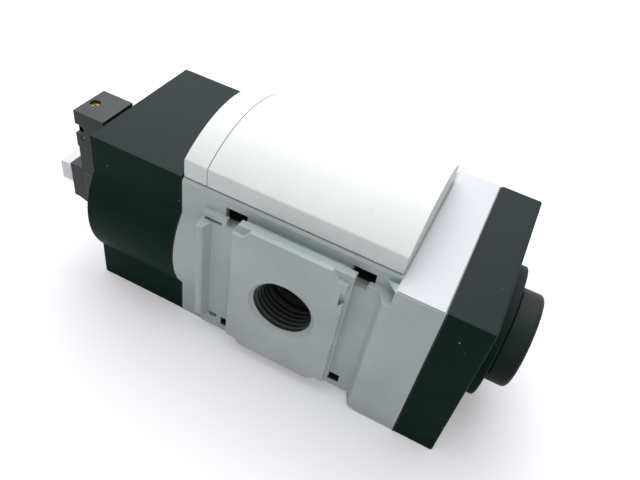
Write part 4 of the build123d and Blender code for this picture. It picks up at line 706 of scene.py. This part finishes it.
def buildFloor(settings):
    mesh = bpy.data.meshes.new("floor")
    reach, drop = settings["floorReach"], -settings["floorDrop"]
    corners = [(-reach, -reach, drop), (reach, -reach, drop), (reach, reach, drop), (-reach, reach, drop)]
    mesh.from_pydata(corners, [], [(0, 1, 2, 3)])
    floor = bpy.data.objects.new("floor", mesh)
    bpy.context.scene.collection.objects.link(floor)
    material = bpy.data.materials.new("paperFloor")
    material.use_nodes = True
    tree = material.node_tree
    tree.nodes.clear()
    link = tree.links.new
    output = addNode(tree, "ShaderNodeOutputMaterial", 600, 0)
    paper = addNode(tree, "ShaderNodeBsdfDiffuse", 0, 100)
    paper.inputs["Color"].default_value = (*settings["floorColor"], 1)
    lift = addNode(tree, "ShaderNodeEmission", 0, -100)
    path = addNode(tree, "ShaderNodeLightPath", -400, -100)
    place = addNode(tree, "ShaderNodeTexCoord", -1000, -300)
    distance = vectorStep(tree, -800, -300, "LENGTH", place.outputs["Object"]).outputs["Value"]
    level = rangeStep(tree, -600, -300, distance, *settings["floorFade"], settings["floorLift"], 1.0)
    strength = mathStep(tree, -200, -100, "MULTIPLY", path.outputs["Is Camera Ray"], level)
    link(strength, lift.inputs["Strength"])
    both = addNode(tree, "ShaderNodeAddShader", 300, 0)
    link(paper.outputs[0], both.inputs[0])
    link(lift.outputs[0], both.inputs[1])
    link(both.outputs[0], output.inputs[0])
    mesh.materials.append(material)


def buildWorld(settings):
    # White where it is seen, dimmer where it lights
    world = bpy.data.worlds.new("studio")
    bpy.context.scene.world = world
    world.use_nodes = True
    tree = world.node_tree
    sky = tree.nodes["Background"]
    sky.inputs["Color"].default_value = (1, 1, 1, 1)
    path = addNode(tree, "ShaderNodeLightPath", -700, 0).outputs
    seen = mathStep(tree, -500, 0, "MAXIMUM", path["Is Camera Ray"], path["Is Transmission Ray"])
    seenToo = mathStep(tree, -300, 0, "MAXIMUM", seen, path["Is Glossy Ray"])
    level = rangeStep(tree, -120, 0, seenToo, 0.0, 1.0, settings["worldStrength"], 1.0)
    tree.links.new(level, sky.inputs["Strength"])


def hangLamp(name, settings, aim):
    light = bpy.data.lights.new(name, "AREA")
    light.size = settings["size"]
    light.energy = settings["power"]
    lamp = bpy.data.objects.new(name, light)
    bpy.context.scene.collection.objects.link(lamp)
    lamp.location = settings["place"]
    lamp.rotation_euler = (Vector(aim) - Vector(settings["place"])).to_track_quat("-Z", "Y").to_euler()


def buildCamera(view):
    data = bpy.data.cameras.new("camera")
    data.sensor_width = view["sensor"]
    data.lens = view["lens"]
    data.clip_start = view["clipStart"]
    camera = bpy.data.objects.new("camera", data)
    bpy.context.scene.collection.objects.link(camera)
    columns = [(*view[name], 0) for name in ("right", "up", "back")] + [(*view["place"], 1)]
    camera.matrix_world = Matrix(columns).transposed()
    bpy.context.scene.camera = camera


buildFloor(studio)
buildWorld(studio)
for name, settings in lamps.items():
    hangLamp(name, settings, lampAim)
buildCamera(cameraView)
bpy.context.scene.view_settings.view_transform = "Standard"
print("stage ready")
